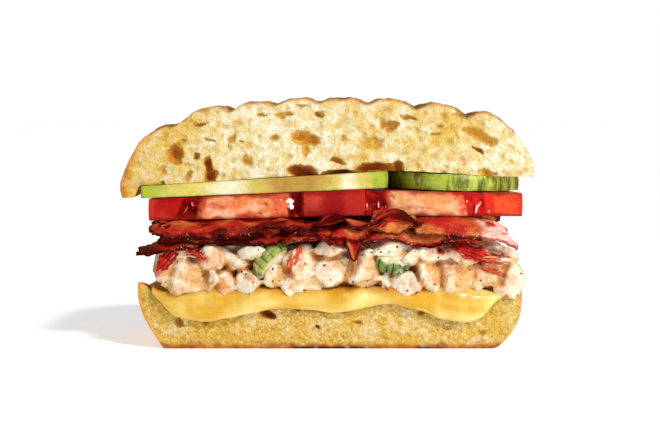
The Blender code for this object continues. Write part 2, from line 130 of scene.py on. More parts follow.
# The heap: along Y, the middle and half depth of the lumps that show at the cut, and how much larger they are made
# than they show; its core's ends along X and its top; how fine its skin is; how many flecks lie on it.
LUMPS_Y = -30.2
LUMPS_DEPTH = 6.2
LUMPS_SWELL = 1.08
CORE_ENDS = (-53.0, 56.0)
CORE_TOP = 33.4
SKIN_SIZE = 0.5
FLECKS = 330

# Bundles of red leg meat: from (along X, height) to (along X, height), how wide, how much of it is white.
RED_MEAT = (
    (-55.6, 25.2, -49.4, 32.6, 3.8, 0.0), (-45.6, 31.6, -39.6, 29.4, 2.8, 0.3),
    (-13.0, 25.0, -10.0, 33.0, 3.6, 0.85), (8.0, 33.4, 8.9, 28.0, 1.6, 0.4), (34.6, 33.2, 36.8, 31.0, 2.2, 0.5),
    (40.4, 33.4, 51.4, 28.8, 4.6, 0.0), (46.0, 30.0, 57.6, 27.6, 1.5, 0.7), (49.0, 26.2, 56.0, 24.0, 1.5, 0.7),
    (50.0, 31.6, 58.6, 29.6, 0.9, 0.9), (17.4, 20.8, 20.6, 16.8, 0.8, 0.3),
)

BACON_THICK = 1.9
# Each strip of bacon, and the folds of it that show: its solid; its front edge's points (along X, height); the
# same behind; front and back edge along Y; how deep the front slopes; how dark it is, fried darker and, on the
# strips and folds that lie in shadow, painted shade; how amber, how fatty; how much shorter its back is at the left
# and right end.
BACON_STRIPS = {
    "bacon_upper_left": (
        "bacon_upper_left",
        (
            (-57.0, 37.6), (-51.0, 36.4), (-45.0, 35.9), (-38.0, 35.6), (-31.0, 36.0), (-25.0, 38.0), (-20.0, 39.6),
            (-14.0, 39.0),
        ),
        ((-57.0, 39.4), (-48.0, 40.6), (-14.0, 41.0)),
        (-36.8, -7.5), 7.0, (0.1, 0.5, 0.0), (0.0, -3.0),
    ),
    "bacon_humped": (
        "bacon_humped",
        (
            (-14.0, 38.0), (-9.0, 38.6), (-4.8, 40.4), (-1.2, 43.2), (1.6, 44.6), (4.2, 43.2), (6.6, 39.6),
            (9.0, 38.6), (11.6, 39.6), (14.0, 42.8), (17.2, 45.2), (20.6, 45.9), (24.0, 45.0), (26.8, 42.4),
            (28.6, 39.2),
        ),
        ((-14.0, 40.8), (28.6, 40.8)),
        (-37.8, -7.5), 4.5, (0.0, 0.38, 0.0), (0.0, 0.0),
    ),
    "bacon_upper_right": (
        "bacon_upper_right",
        ((27.0, 38.4), (31.0, 37.0), (38.0, 36.4), (45.0, 36.6), (51.0, 36.0), (55.6, 34.6), (59.6, 32.4)),
        ((27.0, 42.4), (46.0, 42.6), (52.0, 40.8), (59.6, 35.4)),
        (-37.4, -7.5), 8.0, (0.0, 0.74, 0.0), (0.0, 11.0),
    ),
    "bacon_middle_left": (
        "bacon_middle_left",
        ((-54.6, 34.2), (-50.0, 33.8), (-44.0, 34.6), (-36.0, 34.2), (-28.0, 34.6), (-20.0, 34.0), (-12.6, 35.4)),
        ((-54.6, 35.6), (-46.0, 36.2), (-12.6, 37.4)),
        (-35.4, -8.5), 5.0, (0.36, 0.3, 0.0), (0.0, 0.0),
    ),
    "bacon_middle_right": (
        "bacon_middle_right",
        (
            (-15.0, 33.8), (-9.0, 35.4), (-3.0, 35.8), (2.0, 34.2), (6.4, 32.8), (10.0, 34.4), (15.6, 36.0),
            (21.4, 35.6), (26.0, 33.8), (32.0, 33.4), (40.0, 34.5), (48.0, 34.2),
        ),
        ((-15.0, 38.2), (48.0, 37.6)),
        (-37.2, -8.5), 6.0, (0.0, 0.66, 0.0), (0.0, 0.0),
    ),
    "bacon_lower_left": (
        "bacon_lower_left",
        ((-61.8, 31.4), (-58.8, 31.0), (-54.0, 31.8), (-48.0, 32.8), (-42.0, 33.2)),
        ((-61.4, 32.0), (-54.0, 32.6), (-42.0, 34.2)),
        (-36.4, -14.0), 4.0, (0.05, 0.5, 0.0), (3.0, 0.0),
    ),
    "bacon_left_shred": (
        "bacon_upper_left",
        ((-54.6, 39.2), (-52.0, 38.8), (-49.0, 39.6)),
        ((-54.6, 40.6), (-49.0, 41.2)),
        (-34.6, -26.0), 4.0, (0.3, 0.1, 0.0), (0.0, 0.0),
    ),
    "bacon_left_fold": (
        "bacon_upper_left",
        ((-34.0, 38.0), (-31.0, 38.4), (-26.0, 36.4), (-20.0, 35.0), (-14.0, 34.6), (-10.0, 36.0)),
        ((-34.0, 41.0), (-24.0, 42.2), (-10.0, 42.0)),
        (-34.0, -22.0), 5.0, (0.25, 0.12, 0.0), (4.0, 0.0),
    ),
    "bacon_loop": (
        "bacon_middle_right",
        ((-14.2, 34.0), (-12.6, 37.0), (-9.0, 39.4), (-4.6, 38.4), (-1.6, 35.6), (0.2, 33.2)),
        ((-14.2, 37.0), (0.2, 37.0)),
        (-38.0, -30.0), 5.0, (0.0, 0.5, 0.0), (2.0, 2.0),
    ),
    "bacon_bright_fold": (
        "bacon_humped",
        ((13.6, 39.0), (17.0, 37.8), (22.0, 37.8), (27.6, 39.8)),
        ((13.6, 43.6), (20.0, 45.2), (27.6, 43.0)),
        (-36.2, -28.0), 5.0, (0.0, 1.0, 0.0), (1.0, 1.0),
    ),
    "bacon_crossing_fold": (
        "bacon_middle_right",
        ((1.0, 36.6), (4.0, 36.2), (7.6, 35.2), (11.6, 37.4), (15.0, 40.0), (17.6, 41.6)),
        ((1.0, 38.4), (17.6, 40.4)),
        (-38.0, -31.0), 4.0, (0.0, 0.35, 0.0), (0.0, 0.0),
    ),
    "bacon_hanging_tip": (
        "bacon_middle_right",
        ((5.4, 34.4), (6.6, 30.0), (7.5, 26.4), (8.4, 30.0), (9.6, 34.4)),
        ((5.4, 35.4), (9.6, 35.4)),
        (-38.4, -35.0), 2.6, (0.22, 0.0, 0.0), (0.0, 0.0),
    ),
    "bacon_back_left": (
        "bacon_back_left",
        ((-57.0, 38.2), (-44.0, 39.8), (-34.0, 38.0), (-24.0, 39.4), (-12.0, 38.2), (-2.0, 39.6)),
        ((-57.0, 39.9), (-2.0, 39.9)),
        (28.2, -4.8), 8.0, (0.15, 0.4, 0.2), (0.0, 0.0),
    ),
    "bacon_back_right": (
        "bacon_back_right",
        ((0.5, 39.4), (8.0, 38.0), (18.0, 39.6), (30.0, 38.4), (42.0, 40.0), (57.0, 38.2)),
        ((0.5, 40.0), (57.0, 40.0)),
        (28.0, -4.8), 8.0, (0.05, 0.5, 0.2), (0.0, 0.0),
    ),
    "bacon_back_under": (
        "bacon_back_under",
        ((-52.0, 34.5), (-38.0, 36.4), (-22.0, 34.6), (0.0, 36.2), (14.0, 34.8), (32.0, 36.4), (51.0, 34.6)),
        ((-52.0, 36.7), (51.0, 36.7)),
        (29.2, -5.0), 8.0, (0.4, 0.3, 0.1), (0.0, 0.0),
    ),
}

# Where painted sparkles, pale specks that stand for glints of light on wet fat, cluster along the front
# of the strips: along X, half width, how much.
PAINTED_SPARKLES = (
    (-46.0, 4.0, 1.0), (-29.0, 4.6, 1.0), (-11.0, 2.6, 1.0), (13.5, 2.6, 1.0), (27.0, 2.6, 1.0), (37.0, 3.6, 1.0),
    (45.0, 3.6, 1.0),
)

# How thin the curled strips are, against the rest.
CURLED = {"bacon_humped": 0.62, "bacon_loop": 0.7, "bacon_crossing_fold": 0.7, "bacon_hanging_tip": 0.8}

# Each celery slice: its middle; turn, tilt and bend in degrees; how high its ribs are; its skin's green, and a
# darker green, painted shade between the ribs and mottled at random.
CELERY = {
    "celery_left": ((-19.4, -33.2, 28.8), (-48.0, 46.0, 68.0), 0.45, (164, 178, 86), (104, 122, 40)),
    "celery_right": ((19.8, -33.8, 28.4), (188.0, 36.0, 52.0), 0.75, (112, 144, 66), (18, 56, 8)),
}
CELERY_OUTER = 13.0
CELERY_INNER = 6.6
CELERY_THICK = 4.4


# ---- sums on arrays ----


def unit(value):
    """Kept between 0 and 1."""
    return np.clip(value, 0, 1)


def smooth_step(low, high, value):
    share = unit((value - low) / (high - low))
    return share * share * (3 - 2 * share)


def mix(a, b, share):
    return a + (b - a) * share


def blend(a, b, share):
    """Colours a and b mixed by a share for each point, kept between 0 and 1."""
    return np.asarray(a) + (np.asarray(b) - np.asarray(a)) * unit(share)[..., None]


def bell(value, middle, half_width):
    return np.exp(-(((value - middle) / half_width) ** 2))


def bells(value, table, wider=1.0):
    """The bells of a table of (middle, half width, height), added up."""
    return sum(height * bell(value, middle, half_width * wider) for middle, half_width, height in table)


def turned_reach(dx, dz, half_x, half_z, turn):
    """How far out in an ellipse turned by so many degrees a point is: 1 on its rim."""
    c, s = math.cos(math.radians(turn)), math.sin(math.radians(turn))
    return ((dx * c - dz * s) / half_x) ** 2 + ((dx * s + dz * c) / half_z) ** 2


def through(points, x, rounding=1.0):
    """A curve through (x, height) points, its corners rounded, level beyond both ends."""
    knots, heights = zip(*points)
    return sum(np.interp(x + rounding * shift, knots, heights) for shift in (-1.0, -0.5, 0.0, 0.5, 1.0)) / 5


def unevenness(x, y, z, size, seed):
    """Smooth noise from -1 to 1 whose humps are about size across; x, y and z are arrays or 0."""
    table = np.random.default_rng(seed).uniform(-1, 1, 4096)
    place = np.stack(np.broadcast_arrays(x, y, z), axis=-1) / size
    cell = np.floor(place).astype(np.int64)
    part = smooth_step(0.0, 1.0, place - cell)
    total = np.zeros(len(place))
    for corner in np.ndindex(2, 2, 2):
        index = cell + np.array(corner)
        drawn = (index[:, 0] * 73856093 ^ index[:, 1] * 19349663 ^ index[:, 2] * 83492791) & 4095
        total += np.prod(np.where(corner, part, 1 - part), axis=1) * table[drawn]
    return total


def layered(x, y, z, size, seed, layers=3):
    """Unevenness at size, half of it, a quarter, each weaker."""
    return sum(unevenness(x, y, z, size / 2**i, seed + i) * 0.55**i for i in range(layers)) / 1.6


def screen(red, green, blue):
    """The shader's linear colour for one given as a screen shows it, 0 to 255."""
    return tuple(c / 3294.6 if c <= 10 else ((c / 255 + 0.055) / 1.055) ** 2.4 for c in (red, green, blue))


# ---- shared making of pieces ----


def cut_box(counts):
    """A unit box, its edges cut into counts pieces along X, Y and Z."""
    bm = bmesh.new()
    bmesh.ops.create_cube(bm, size=1.0, matrix=Matrix.Translation((0.5, 0.5, 0.5)))
    for axis, count in enumerate(counts):
        if count > 1:
            along = [e for e in bm.edges if abs((e.verts[0].co - e.verts[1].co)[axis]) > 1e-4]
            bmesh.ops.subdivide_edges(bm, edges=along, cuts=count - 1, use_grid_fill=True)
    return bm


def read_points(mesh):
    """A mesh's points as an array of (x, y, z)."""
    points = np.empty(len(mesh.vertices) * 3, dtype=np.float32)
    mesh.vertices.foreach_get("co", points)
    return points.reshape(-1, 3).astype(np.float64)


def turn_outwards(mesh):
    """Flips a closed mesh that its shaping turned inside out."""
    bm = bmesh.new()
    bm.from_mesh(mesh)
    inside_out = bm.calc_volume(signed=True) < 0
    bm.free()
    if inside_out:
        mesh.flip_normals()


def finished(name, mesh, points, looks, finish, *nodes):
    """Puts a mesh's points in place, in metres, gives it its looks, and sets it in the frame for its nodes."""
    mesh.vertices.foreach_set("co", (points * MM).astype(np.float32).ravel())
    for look, values in looks.items():
        values = np.asarray(values, dtype=np.float32)
        if values.ndim == 2:
            layer = mesh.attributes.new(look, "FLOAT_COLOR", "POINT")
            layer.data.foreach_set("color", np.c_[values, np.ones(len(values))].astype(np.float32).ravel())
        else:
            layer = mesh.attributes.new(look, "FLOAT", "POINT")
            layer.data.foreach_set("value", values)
    mesh.update()
    turn_outwards(mesh)
    mesh.shade_smooth()
    mesh.materials.append(finish)
    made = bpy.data.objects.new(name, mesh)
    bpy.context.scene.collection.objects.link(made)
    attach(made, "root")
    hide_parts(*nodes)
    return made


def shaped(name, counts, place, finish, node):
    """A finely cut box, its points (u, v, w) from 0 to 1 moved by place, which also gives their looks."""
    bm = cut_box(counts)
    mesh = bpy.data.meshes.new(name)
    bm.to_mesh(mesh)
    bm.free()
    points, looks = place(*read_points(mesh).T)
    return finished(name, mesh, np.stack(points, axis=-1), looks, finish, node)


# ---- finishes ----


class Value:
    """A number on a node's socket, so that Python's arithmetic adds Math nodes."""

    def __init__(self, finish, socket):
        self.finish = finish
        self.socket = socket

    def combined(self, operation, first, second):
        return self.finish.node("Math", {0: first, 1: second}, operation=operation)

    def __add__(self, other):
        return self.combined("ADD", self, other)

    def __sub__(self, other):
        return self.combined("SUBTRACT", self, other)

    def __rsub__(self, other):
        return self.combined("SUBTRACT", other, self)

    def __mul__(self, other):
        return self.combined("MULTIPLY", self, other)

    def between(self, low, high, out_low=0.0, out_high=1.0):
        """Goes smoothly from out_low to out_high as this goes from low to high."""
        sockets = {"Value": self, "From Min": low, "From Max": high, "To Min": out_low, "To Max": out_high}
        return self.finish.node("MapRange", sockets, interpolation_type="SMOOTHSTEP")


class Finish:
    """A material under construction: the Principled shader and the nodes that feed it."""

    def __init__(self, name, **sockets):
        self.material = bpy.data.materials.new(name)
        self.material.use_nodes = True
        self.nodes = self.material.node_tree.nodes
        self.links = self.material.node_tree.links
        self.shader = self.nodes["Principled BSDF"]
        self.surface(**sockets)

    def surface(self, **sockets):
        """Sets or feeds the shader's sockets, each named with _ for a space."""
        for name, value in sockets.items():
            self.feed(self.shader.inputs[name.replace("_", " ")], value)

    def feed(self, socket, value):
        if isinstance(value, Value):
            self.links.new(value.socket, socket)
        else:
            socket.default_value = (*value, 1.0) if socket.type == "RGBA" else value

    def node(self, kind, sockets, output=0, **settings):
        made = self.nodes.new("ShaderNode" + kind)
        for name, value in settings.items():
            setattr(made, name, value)
        for name, value in sockets.items():
            self.feed(made.inputs[name], value)
        return Value(self, made.outputs[output])

    def tint(self):
        """The colour that the mesh carries."""
        return self.node("Attribute", {}, attribute_name="tint")

    def share(self, name):
        """A number that the mesh carries."""
        return self.node("Attribute", {}, 2, attribute_name=name)

    def places(self, scale=None):
        """The mesh's own coordinates, in metres, or these times a scale along X, Y and Z."""
        own = self.node("TexCoord", {}, 3)
        return self.node("Mapping", {"Vector": own, "Scale": scale}) if scale else own

    def noise(self, size_mm, detail=3.0, roughness=0.55, scale=None, distortion=0.0):
        sockets = {"Scale": 1000.0 / size_mm, "Detail": detail, "Roughness": roughness, "Distortion": distortion}
        return self.node("TexNoise", {"Vector": self.places(scale), **sockets})

    def cells(self, size_mm):
        return self.node("TexVoronoi", {"Vector": self.places(), "Scale": 1000.0 / size_mm})

    def mixed(self, share, first, second, way="MIX"):
        return self.node("Mix", {0: share, 6: first, 7: second}, 2, data_type="RGBA", blend_type=way)

    def times(self, first, second):
        """Two colours multiplied."""
        return self.mixed(1.0, first, second, "MULTIPLY")

    def shaded(self, red, green, blue, colour=None):
        """A colour, the mesh's own if none is given, with its red, green and blue multiplied."""
        return self.times(colour or self.tint(), self.node("CombineColor", {0: red, 1: green, 2: blue}))

    def bumped(self, height, strength, depth_mm):
        """Adds fine relief, and gives the material, which is done then."""
        sockets = {"Height": height, "Strength": strength, "Distance": depth_mm * MM}
        self.surface(Normal=self.node("Bump", sockets))
        return self.material


def bread_finish(name, coarse, patch):
    finish = Finish(
        name, Subsurface_Weight=0.12, Subsurface_Scale=0.0012, Subsurface_Radius=(1.0, 0.55, 0.2),
        Specular_IOR_Level=0.12,
    )
    crust, tint = finish.share("crust"), finish.tint()
    patches = finish.noise(patch, 4.0, 0.65).between(0.38, 0.62)
    crumb = finish.mixed(patches, finish.times(tint, (0.90, 0.83, 0.56)), finish.times(tint, (1.05, 1.12, 1.34)))
    grain, pores = finish.noise(0.45, 3.0, 0.6), finish.cells(0.9)
    # Darker in the low places of the fine grain's relief, which is painted shade, and along the borders of the pore
    # cells, which is a grain tone.
    dips_shade_and_grain = (grain.between(0.62, 0.40) * 0.55 + pores.between(0.36, 0.62) * 0.45) * coarse
    crumb = finish.mixed(dips_shade_and_grain, crumb, finish.times(crumb, (0.76, 0.62, 0.32)))
    blotch = finish.noise(9.0, 6.0, 0.7).between(0.42, 0.64)
    baked = finish.mixed(blotch * 0.7, tint, finish.times(tint, (0.62, 0.44, 0.28)))
    specks = finish.noise(1.3, 5.0, 0.7).between(0.58, 0.74)
    baked = finish.mixed(specks * 0.7, baked, screen(140, 78, 30))
    flour = finish.noise(3.6, 3.5, 0.62).between(0.50, 0.68)
    baked = finish.mixed(flour * 0.28, baked, screen(250, 222, 172))
    finish.surface(
        Base_Color=finish.mixed(crust, crumb, baked), Roughness=finish.noise(2.0).between(0.3, 0.7, 0.72, 0.92)
    )
    skin = finish.noise(2.6, 5.0, 0.7) * 2.0 + finish.cells(1.6) * 0.5
    return finish.bumped((pores * 0.7 + grain * 0.9) * (1 - crust) + skin * crust, 0.6, 0.8)


def cheese_finish():
    finish = Finish(
        "melted_cheese", Subsurface_Weight=0.3, Subsurface_Scale=0.0025, Subsurface_Radius=(1.0, 0.62, 0.16),
        Coat_Roughness=0.12,
    )
    clouds = finish.noise(6.0, 4.0, scale=(0.6, 1.0, 1.3)).between(0.3, 0.7, 0.86, 1.08)
    finish.surface(
        Base_Color=finish.shaded(clouds * 0.4 + 0.6, clouds * 0.9 + 0.1, clouds * 2.4 - 1.4),
        Roughness=finish.noise(3.0).between(0.3, 0.7, 0.24, 0.44),
        Coat_Weight=finish.noise(5.0).between(0.4, 0.6, 0.05, 0.25),
    )
    return finish.bumped(finish.noise(3.0, 4.0, 0.6), 0.5, 1.0)


def crab_finish(name, fibre, wet=None, specular=0.5):
    finish = Finish(
        name, Subsurface_Weight=0.12, Subsurface_Scale=0.001, Subsurface_Radius=(1.0, 0.5, 0.3),
        Coat_Roughness=0.12, Specular_IOR_Level=specular,
    )
    strands, cream = finish.noise(0.7, 3.0, 0.6, distortion=0.8), finish.noise(2.2, 4.0, 0.6)
    shade = strands.between(0.3, 0.7, 0.80, 1.06)
    finish.surface(
        Base_Color=finish.shaded(shade * 0.35 + 0.65, shade, shade * 1.7 - 0.7),
        Roughness=cream.between(0.3, 0.7, 0.5, 0.24),
        Coat_Weight=finish.share("wet") if wet is None else wet,
    )
    return finish.bumped(strands * fibre + cream * 0.8, 0.6, 0.7)


def bacon_finish():
    finish = Finish(
        "fried_bacon", Subsurface_Weight=0.05, Subsurface_Scale=0.001, Subsurface_Radius=(1.0, 0.3, 0.15),
        Coat_Roughness=0.06, Specular_IOR_Level=0.28, Specular_Tint=(1.0, 0.45, 0.34),
    )
    blister, fibre = finish.noise(1.3, 3.0, 0.5), finish.noise(0.9, 3.0, 0.6, (0.25, 1.0, 1.0))
    shade = fibre.between(0.3, 0.72, 0.66, 1.22)
    # Painted highlight: pale specks where the mesh carries sparkles, standing for glints on wet fat.
    beads = finish.noise(0.7, 2.0, 0.6, distortion=0.6).between(0.63, 0.68) * finish.share("beads")
    finish.surface(
        Base_Color=finish.mixed(beads, finish.shaded(shade * 0.6 + 0.4, shade, shade), screen(255, 206, 178)),
        Roughness=finish.noise(1.6).between(0.42, 0.62, 0.34, 0.13),
        Coat_Weight=finish.noise(1.8).between(0.5, 0.6, 0.0, 0.3) * finish.share("wet"),
    )
    return finish.bumped(blister + fibre * 0.3 + finish.noise(0.45, 1.0) * 0.3, 0.45, 0.8)


def tomato_finish():
    finish = Finish(
        "cut_tomato", Subsurface_Weight=0.1, Subsurface_Scale=0.0016, Subsurface_Radius=(1.0, 0.28, 0.12),
        Coat_Roughness=0.05, Specular_IOR_Level=0.4, Specular_Tint=(1.0, 0.4, 0.34),
    )
    grain, wet = finish.noise(1.3, 4.0, 0.6), finish.share("wet")
    shade = grain.between(0.3, 0.7, 0.74, 1.14)
    finish.surface(
        Base_Color=finish.shaded(shade * 0.4 + 0.6, shade, shade),
        Roughness=wet * -0.26 + 0.36,
        Coat_Weight=wet * wet * wet * 0.2,
    )
    return finish.bumped(grain + finish.noise(0.45, 2.0) * 0.3, 0.25, 0.35)


def avocado_finish():
    finish = Finish(
        "cut_avocado", Subsurface_Weight=0.12, Subsurface_Scale=0.0012, Subsurface_Radius=(0.8, 1.0, 0.3),
        Coat_Roughness=0.3, Coat_Weight=0.12,
    )
    skin, along = finish.share("skin"), finish.node("SeparateXYZ", {0: finish.places()})
    streaks = finish.noise(3.0, 5.0, 0.65, (1.0, 1.0, 0.3)).between(0.40, 0.58)
    colour = finish.mixed(skin * (1 - streaks) * 0.85, finish.tint(), screen(84, 96, 20))
    # Painted shade: the skin darker green left of 18 to 40 mm along X, where the bread shades it.
    colour = finish.mixed(skin * along.between(0.018, 0.040, 0.25, 0.0), colour, screen(70, 78, 18))
    # Painted light: paler yellow-green on the streaks towards the right end.
    colour = finish.mixed(skin * streaks * along.between(0.038, 0.058, 0.0, 0.55), colour, screen(226, 230, 112))
    soft = finish.noise(1.6, 4.0, 0.6).between(0.3, 0.7, 0.86, 1.06)
    finish.surface(
        Base_Color=finish.shaded(soft, soft, soft, colour), Roughness=finish.noise(2.0).between(0.3, 0.7, 0.36, 0.5)
    )
    return finish.bumped(finish.noise(1.4, 4.0, 0.6), 0.45, 0.5)


def celery_finish():
    finish = Finish(
        "cut_celery", Subsurface_Weight=0.25, Subsurface_Scale=0.0015, Subsurface_Radius=(0.8, 1.0, 0.4),
        Coat_Roughness=0.1, Coat_Weight=0.4, Roughness=0.32,
    )
    grain = finish.noise(0.8)
    shade = grain.between(0.3, 0.7, 0.88, 1.1)
    finish.surface(Base_Color=finish.shaded(shade, shade, shade))
    return finish.bumped(grain, 0.3, 0.3)


# ---- the breads ----


CRUMB_LIGHT = screen(249, 239, 206)
CRUMB_GOLD = screen(232, 200, 106)
# The crumb as light washes it out: painted light towards the right end.
CRUMB_PAINTED_LIGHT = screen(255, 242, 208)

# Painted shade inside the crumb's open bubbles, from shallow to deep.
PIT_SHADE_GOLD = screen(230, 186, 92)
PIT_SHADE_AMBER = screen(226, 160, 66)
PIT_SHADE_BROWN = screen(196, 108, 52)
CRUST_GOLD = screen(234, 168, 60)
CRUST_BROWN = screen(176, 104, 40)
CHAR = screen(50, 22, 10)
SCORCHED = screen(84, 34, 12)


def crust_height(x):
    """The crown's height, its grooves cut in."""
    return through(CROWN, x, 1.6) - bells(x, GROOVES)


def lid_height(x):
    """How high the lid's underside lies."""
    left = mix(52.7, 57.6, smooth_step(-75, 30, x))
    right = mix(57.6, 55.7, smooth_step(18, 62, x))
    lip = 3.9 * (1 - smooth_step(-63.2, -60.9, x))
    return np.where(x < 18, left, right) - lip


def rim_height(x):
    """How high the base's rims stand at its left and right end."""
    return 7.0 * bell(x, -61.5, 5.6) + 6.4 * bell(x, 62.0, 7.0)


def base_height(x):
    return 14.3 + 1.2 * bell(x, 18.0, 9.0) + rim_height(x)


def spread(share):
    """A share from 0 to 1 made -1 to 1, its steps smaller towards both ends."""
    side = 2 * share - 1
    return 0.6 * side + 0.4 * np.sin(side * np.pi / 2)


def back_wall(side, height_share, reach, lean):
    """Where the roll's back is along Y: further in at both ends, and leaning in with height_share."""
    return reach - 9.0 * np.abs(side) ** 7 - lean * height_share


def sunk_crumb(y, depth):
    """y with the cut crumb sunk into the roll, less and less behind the cut."""
    return y + np.where(y < CUT_Y + RELIEF, depth * unit(1 - (y - CUT_Y) / RELIEF), 0.0)


def crumb_bubbles(x, z, named, count, box, seed, smallest=0.3, largest=1.3):
    """How deep a cut crumb's open bubbles go at each point: the named ones, and many small drawn ones."""
    rng = random.Random(seed)
    x0, x1, z0, z1 = box
    drawn = []
    for _ in range(count):
        size = smallest * (largest / smallest) ** (rng.random() ** 2.4)
        wide = size * rng.uniform(1.0, 1.7)
        depth = size * rng.uniform(0.4, 0.8)
        drawn.append((rng.uniform(x0, x1), rng.uniform(z0, z1), wide, size, depth, rng.uniform(-35, 35)))
    warp_x = layered(x, z, 0, 2.6, seed + 5)
    warp_z = layered(x, z, 0, 2.6, seed + 9)
    deepest = []
    for bubbles, edge, warp in ((named, 0.55, 1.0), (drawn, 1.0, 0.5)):
        deep = np.zeros_like(x)
        for middle_x, middle_z, half_x, half_z, depth, turn in bubbles:
            reach = max(half_x, half_z) * 1.3 + 0.6
            near = np.flatnonzero((np.abs(x - middle_x) < reach) & (np.abs(z - middle_z) < reach))
            dx, dz = x[near] + warp * warp_x[near] - middle_x, z[near] + warp * warp_z[near] - middle_z
            out = turned_reach(dx, dz, half_x, half_z, turn)
            deep[near] = np.maximum(deep[near], depth * unit(1 - out) ** edge)
        deepest.append(deep)
    return deepest


def crumb_colour(x, z, named, small, golden, seed):
    """The cut crumb's colour, with painted shade in its bubbles, darker the deeper they go, and painted light
    towards the right end.
    """
    gold = golden + 0.75 * layered(x, z, 0, 12.0, seed) + 0.4 * unevenness(x, z, 0, 2.8, seed + 3)
    colour = blend(CRUMB_LIGHT, CRUMB_GOLD, gold)
    # Painted light: the crumb paler towards the right end of the lid and of the base.
    colour = blend(colour, CRUMB_PAINTED_LIGHT, 0.7 * smooth_step(36, 60, x) * (z > 30))
    colour = blend(colour, CRUMB_PAINTED_LIGHT, 0.35 * smooth_step(52, 62, x) * (z < 30))
    # Painted shade: the bubbles golden, then amber, then brown, the deeper they go.
    colour = blend(colour, PIT_SHADE_GOLD, 0.45 * smooth_step(0.05, 0.6, small))
    colour = blend(colour, PIT_SHADE_GOLD, smooth_step(0.2, 1.2, named))
    colour = blend(colour, PIT_SHADE_AMBER, smooth_step(1.2, 2.8, named))
    return blend(colour, PIT_SHADE_BROWN, smooth_step(3.0, 4.0, named))


def crust_colour(x, y, z, brown, char, seed):
    """The crust's colour: patchy gold to brown, and charred."""
    patches = unit(0.5 + 0.9 * layered(x, y, z, 12.0, seed))
    mottles = 0.3 * layered(x, y, z, 3.4, seed + 5)
    colour = blend(CRUST_GOLD, CRUST_BROWN, brown + 0.45 * patches + mottles)
    return blend(colour, CHAR, char)


def top_bread(finish):
    """The lid: cut face at the front, grooved crown, crust at the back and the ends."""

    def place(u, v, w):
        front = v < 1e-6
        side = spread(u)
        left = np.interp(w, *zip(*LEFT_END))
        right = 64.8 - 6.3 * smooth_step(0.2, 1.3, w) / 0.817
        share = (side + 1) / 2
        x = mix(left, right, share) + (1 - w) * 0.6 * side
        along = mix(*CROWN_ENDS, share)
        floor = lid_height(x) - 0.22 * (v < 0.2)
        v = 1 - (1 - v) ** 1.35
        fall = 9.5 * v**9 + 2.0 * np.abs(side) ** 6 * v
        roof = crust_height(along) - fall
        z = mix(floor, roof, w)
        y = CUT_Y + v * (back_wall(side, w**3, BACK_Y, 7.5) - CUT_Y)
        x *= 1 - 0.05 * v**3

        named, small = crumb_bubbles(x, z, TOP_BUBBLES, 1700, (-64, 63, 49, 79), 7)
        grain = 0.14 * layered(x, z, 0, 1.2, 31) + 0.26 * unevenness(x, z, 0, 4.5, 35)
        to_roof = roof - z
        to_left, to_right = x - left, right + 0.6 - x
        rind = smooth_step(0.1, 1.0, np.minimum(to_roof, np.minimum(to_left, to_right)))
        y = sunk_crumb(y, (named + small) * rind + grain)

        wrinkle = 0.36 * layered(x, y, z, 5.0, 51) + 0.3 * smooth_step(0.2, 0.6, unevenness(x, y, z, 3.2, 53))
        wrinkle *= 1 - front
        z += wrinkle * (w > 0.5)
        y += wrinkle * smooth_step(0.9, 1.0, v)

        top = smooth_step(0.75, 1.0, w)
        seam = (bells(along, GROOVES, 0.7) / 2) ** 1.3
        char = seam * top * (0.9 + 0.6 * unevenness(x, y, z, 6.0, 61)) * smooth_step(0.0, 0.03, v)
        edge = 0.9 * smooth_step(4.0, 0.5, to_left) + 0.85 * smooth_step(1.5, 0.1, to_roof)
        outer = np.where(front, unit(edge + 0.3 * smooth_step(1.6, 0.0, to_right)), 1.0)
        torn = to_roof + 0.35 * unevenness(x, 0, 0, 1.1, 63)
        rim = unit(1.5 * bells(x, CHAR_MARKS)) * smooth_step(1.0, 0.45, torn) + 0.45 * smooth_step(0.5, 0.1, torn)
        char = np.where(front, rim * (0.9 + 0.3 * unevenness(x, z, 0, 1.2, 65)), char)
        under = (w < 1e-6) & ~front & (np.abs(side) < 0.93) & (v < 0.93)
        crust = np.where(under, 0.0, outer)
        brown = -0.1 + 0.35 * top + 0.3 * smooth_step(0.75, 1.0, v) + 0.3 * smooth_step(1.2, 0.0, to_left)
        rind_colour = crust_colour(x, y, z, brown, char * np.where(front, 0.0, 1.0), 71)
        rind_colour = blend(rind_colour, SCORCHED, unit(char) * front)
        golden = 0.30 + 0.6 * smooth_step(-30, -60, x) + 0.2 * smooth_step(60, 52, z)
        crumb = crumb_colour(x, z, np.where(front, named, 0.0), small * front, golden, 81)
        return (x, y, z), {"tint": blend(crumb, rind_colour, crust), "crust": crust}

    shaped("top_bread", (330, 46, 70), place, finish, "bread_top")


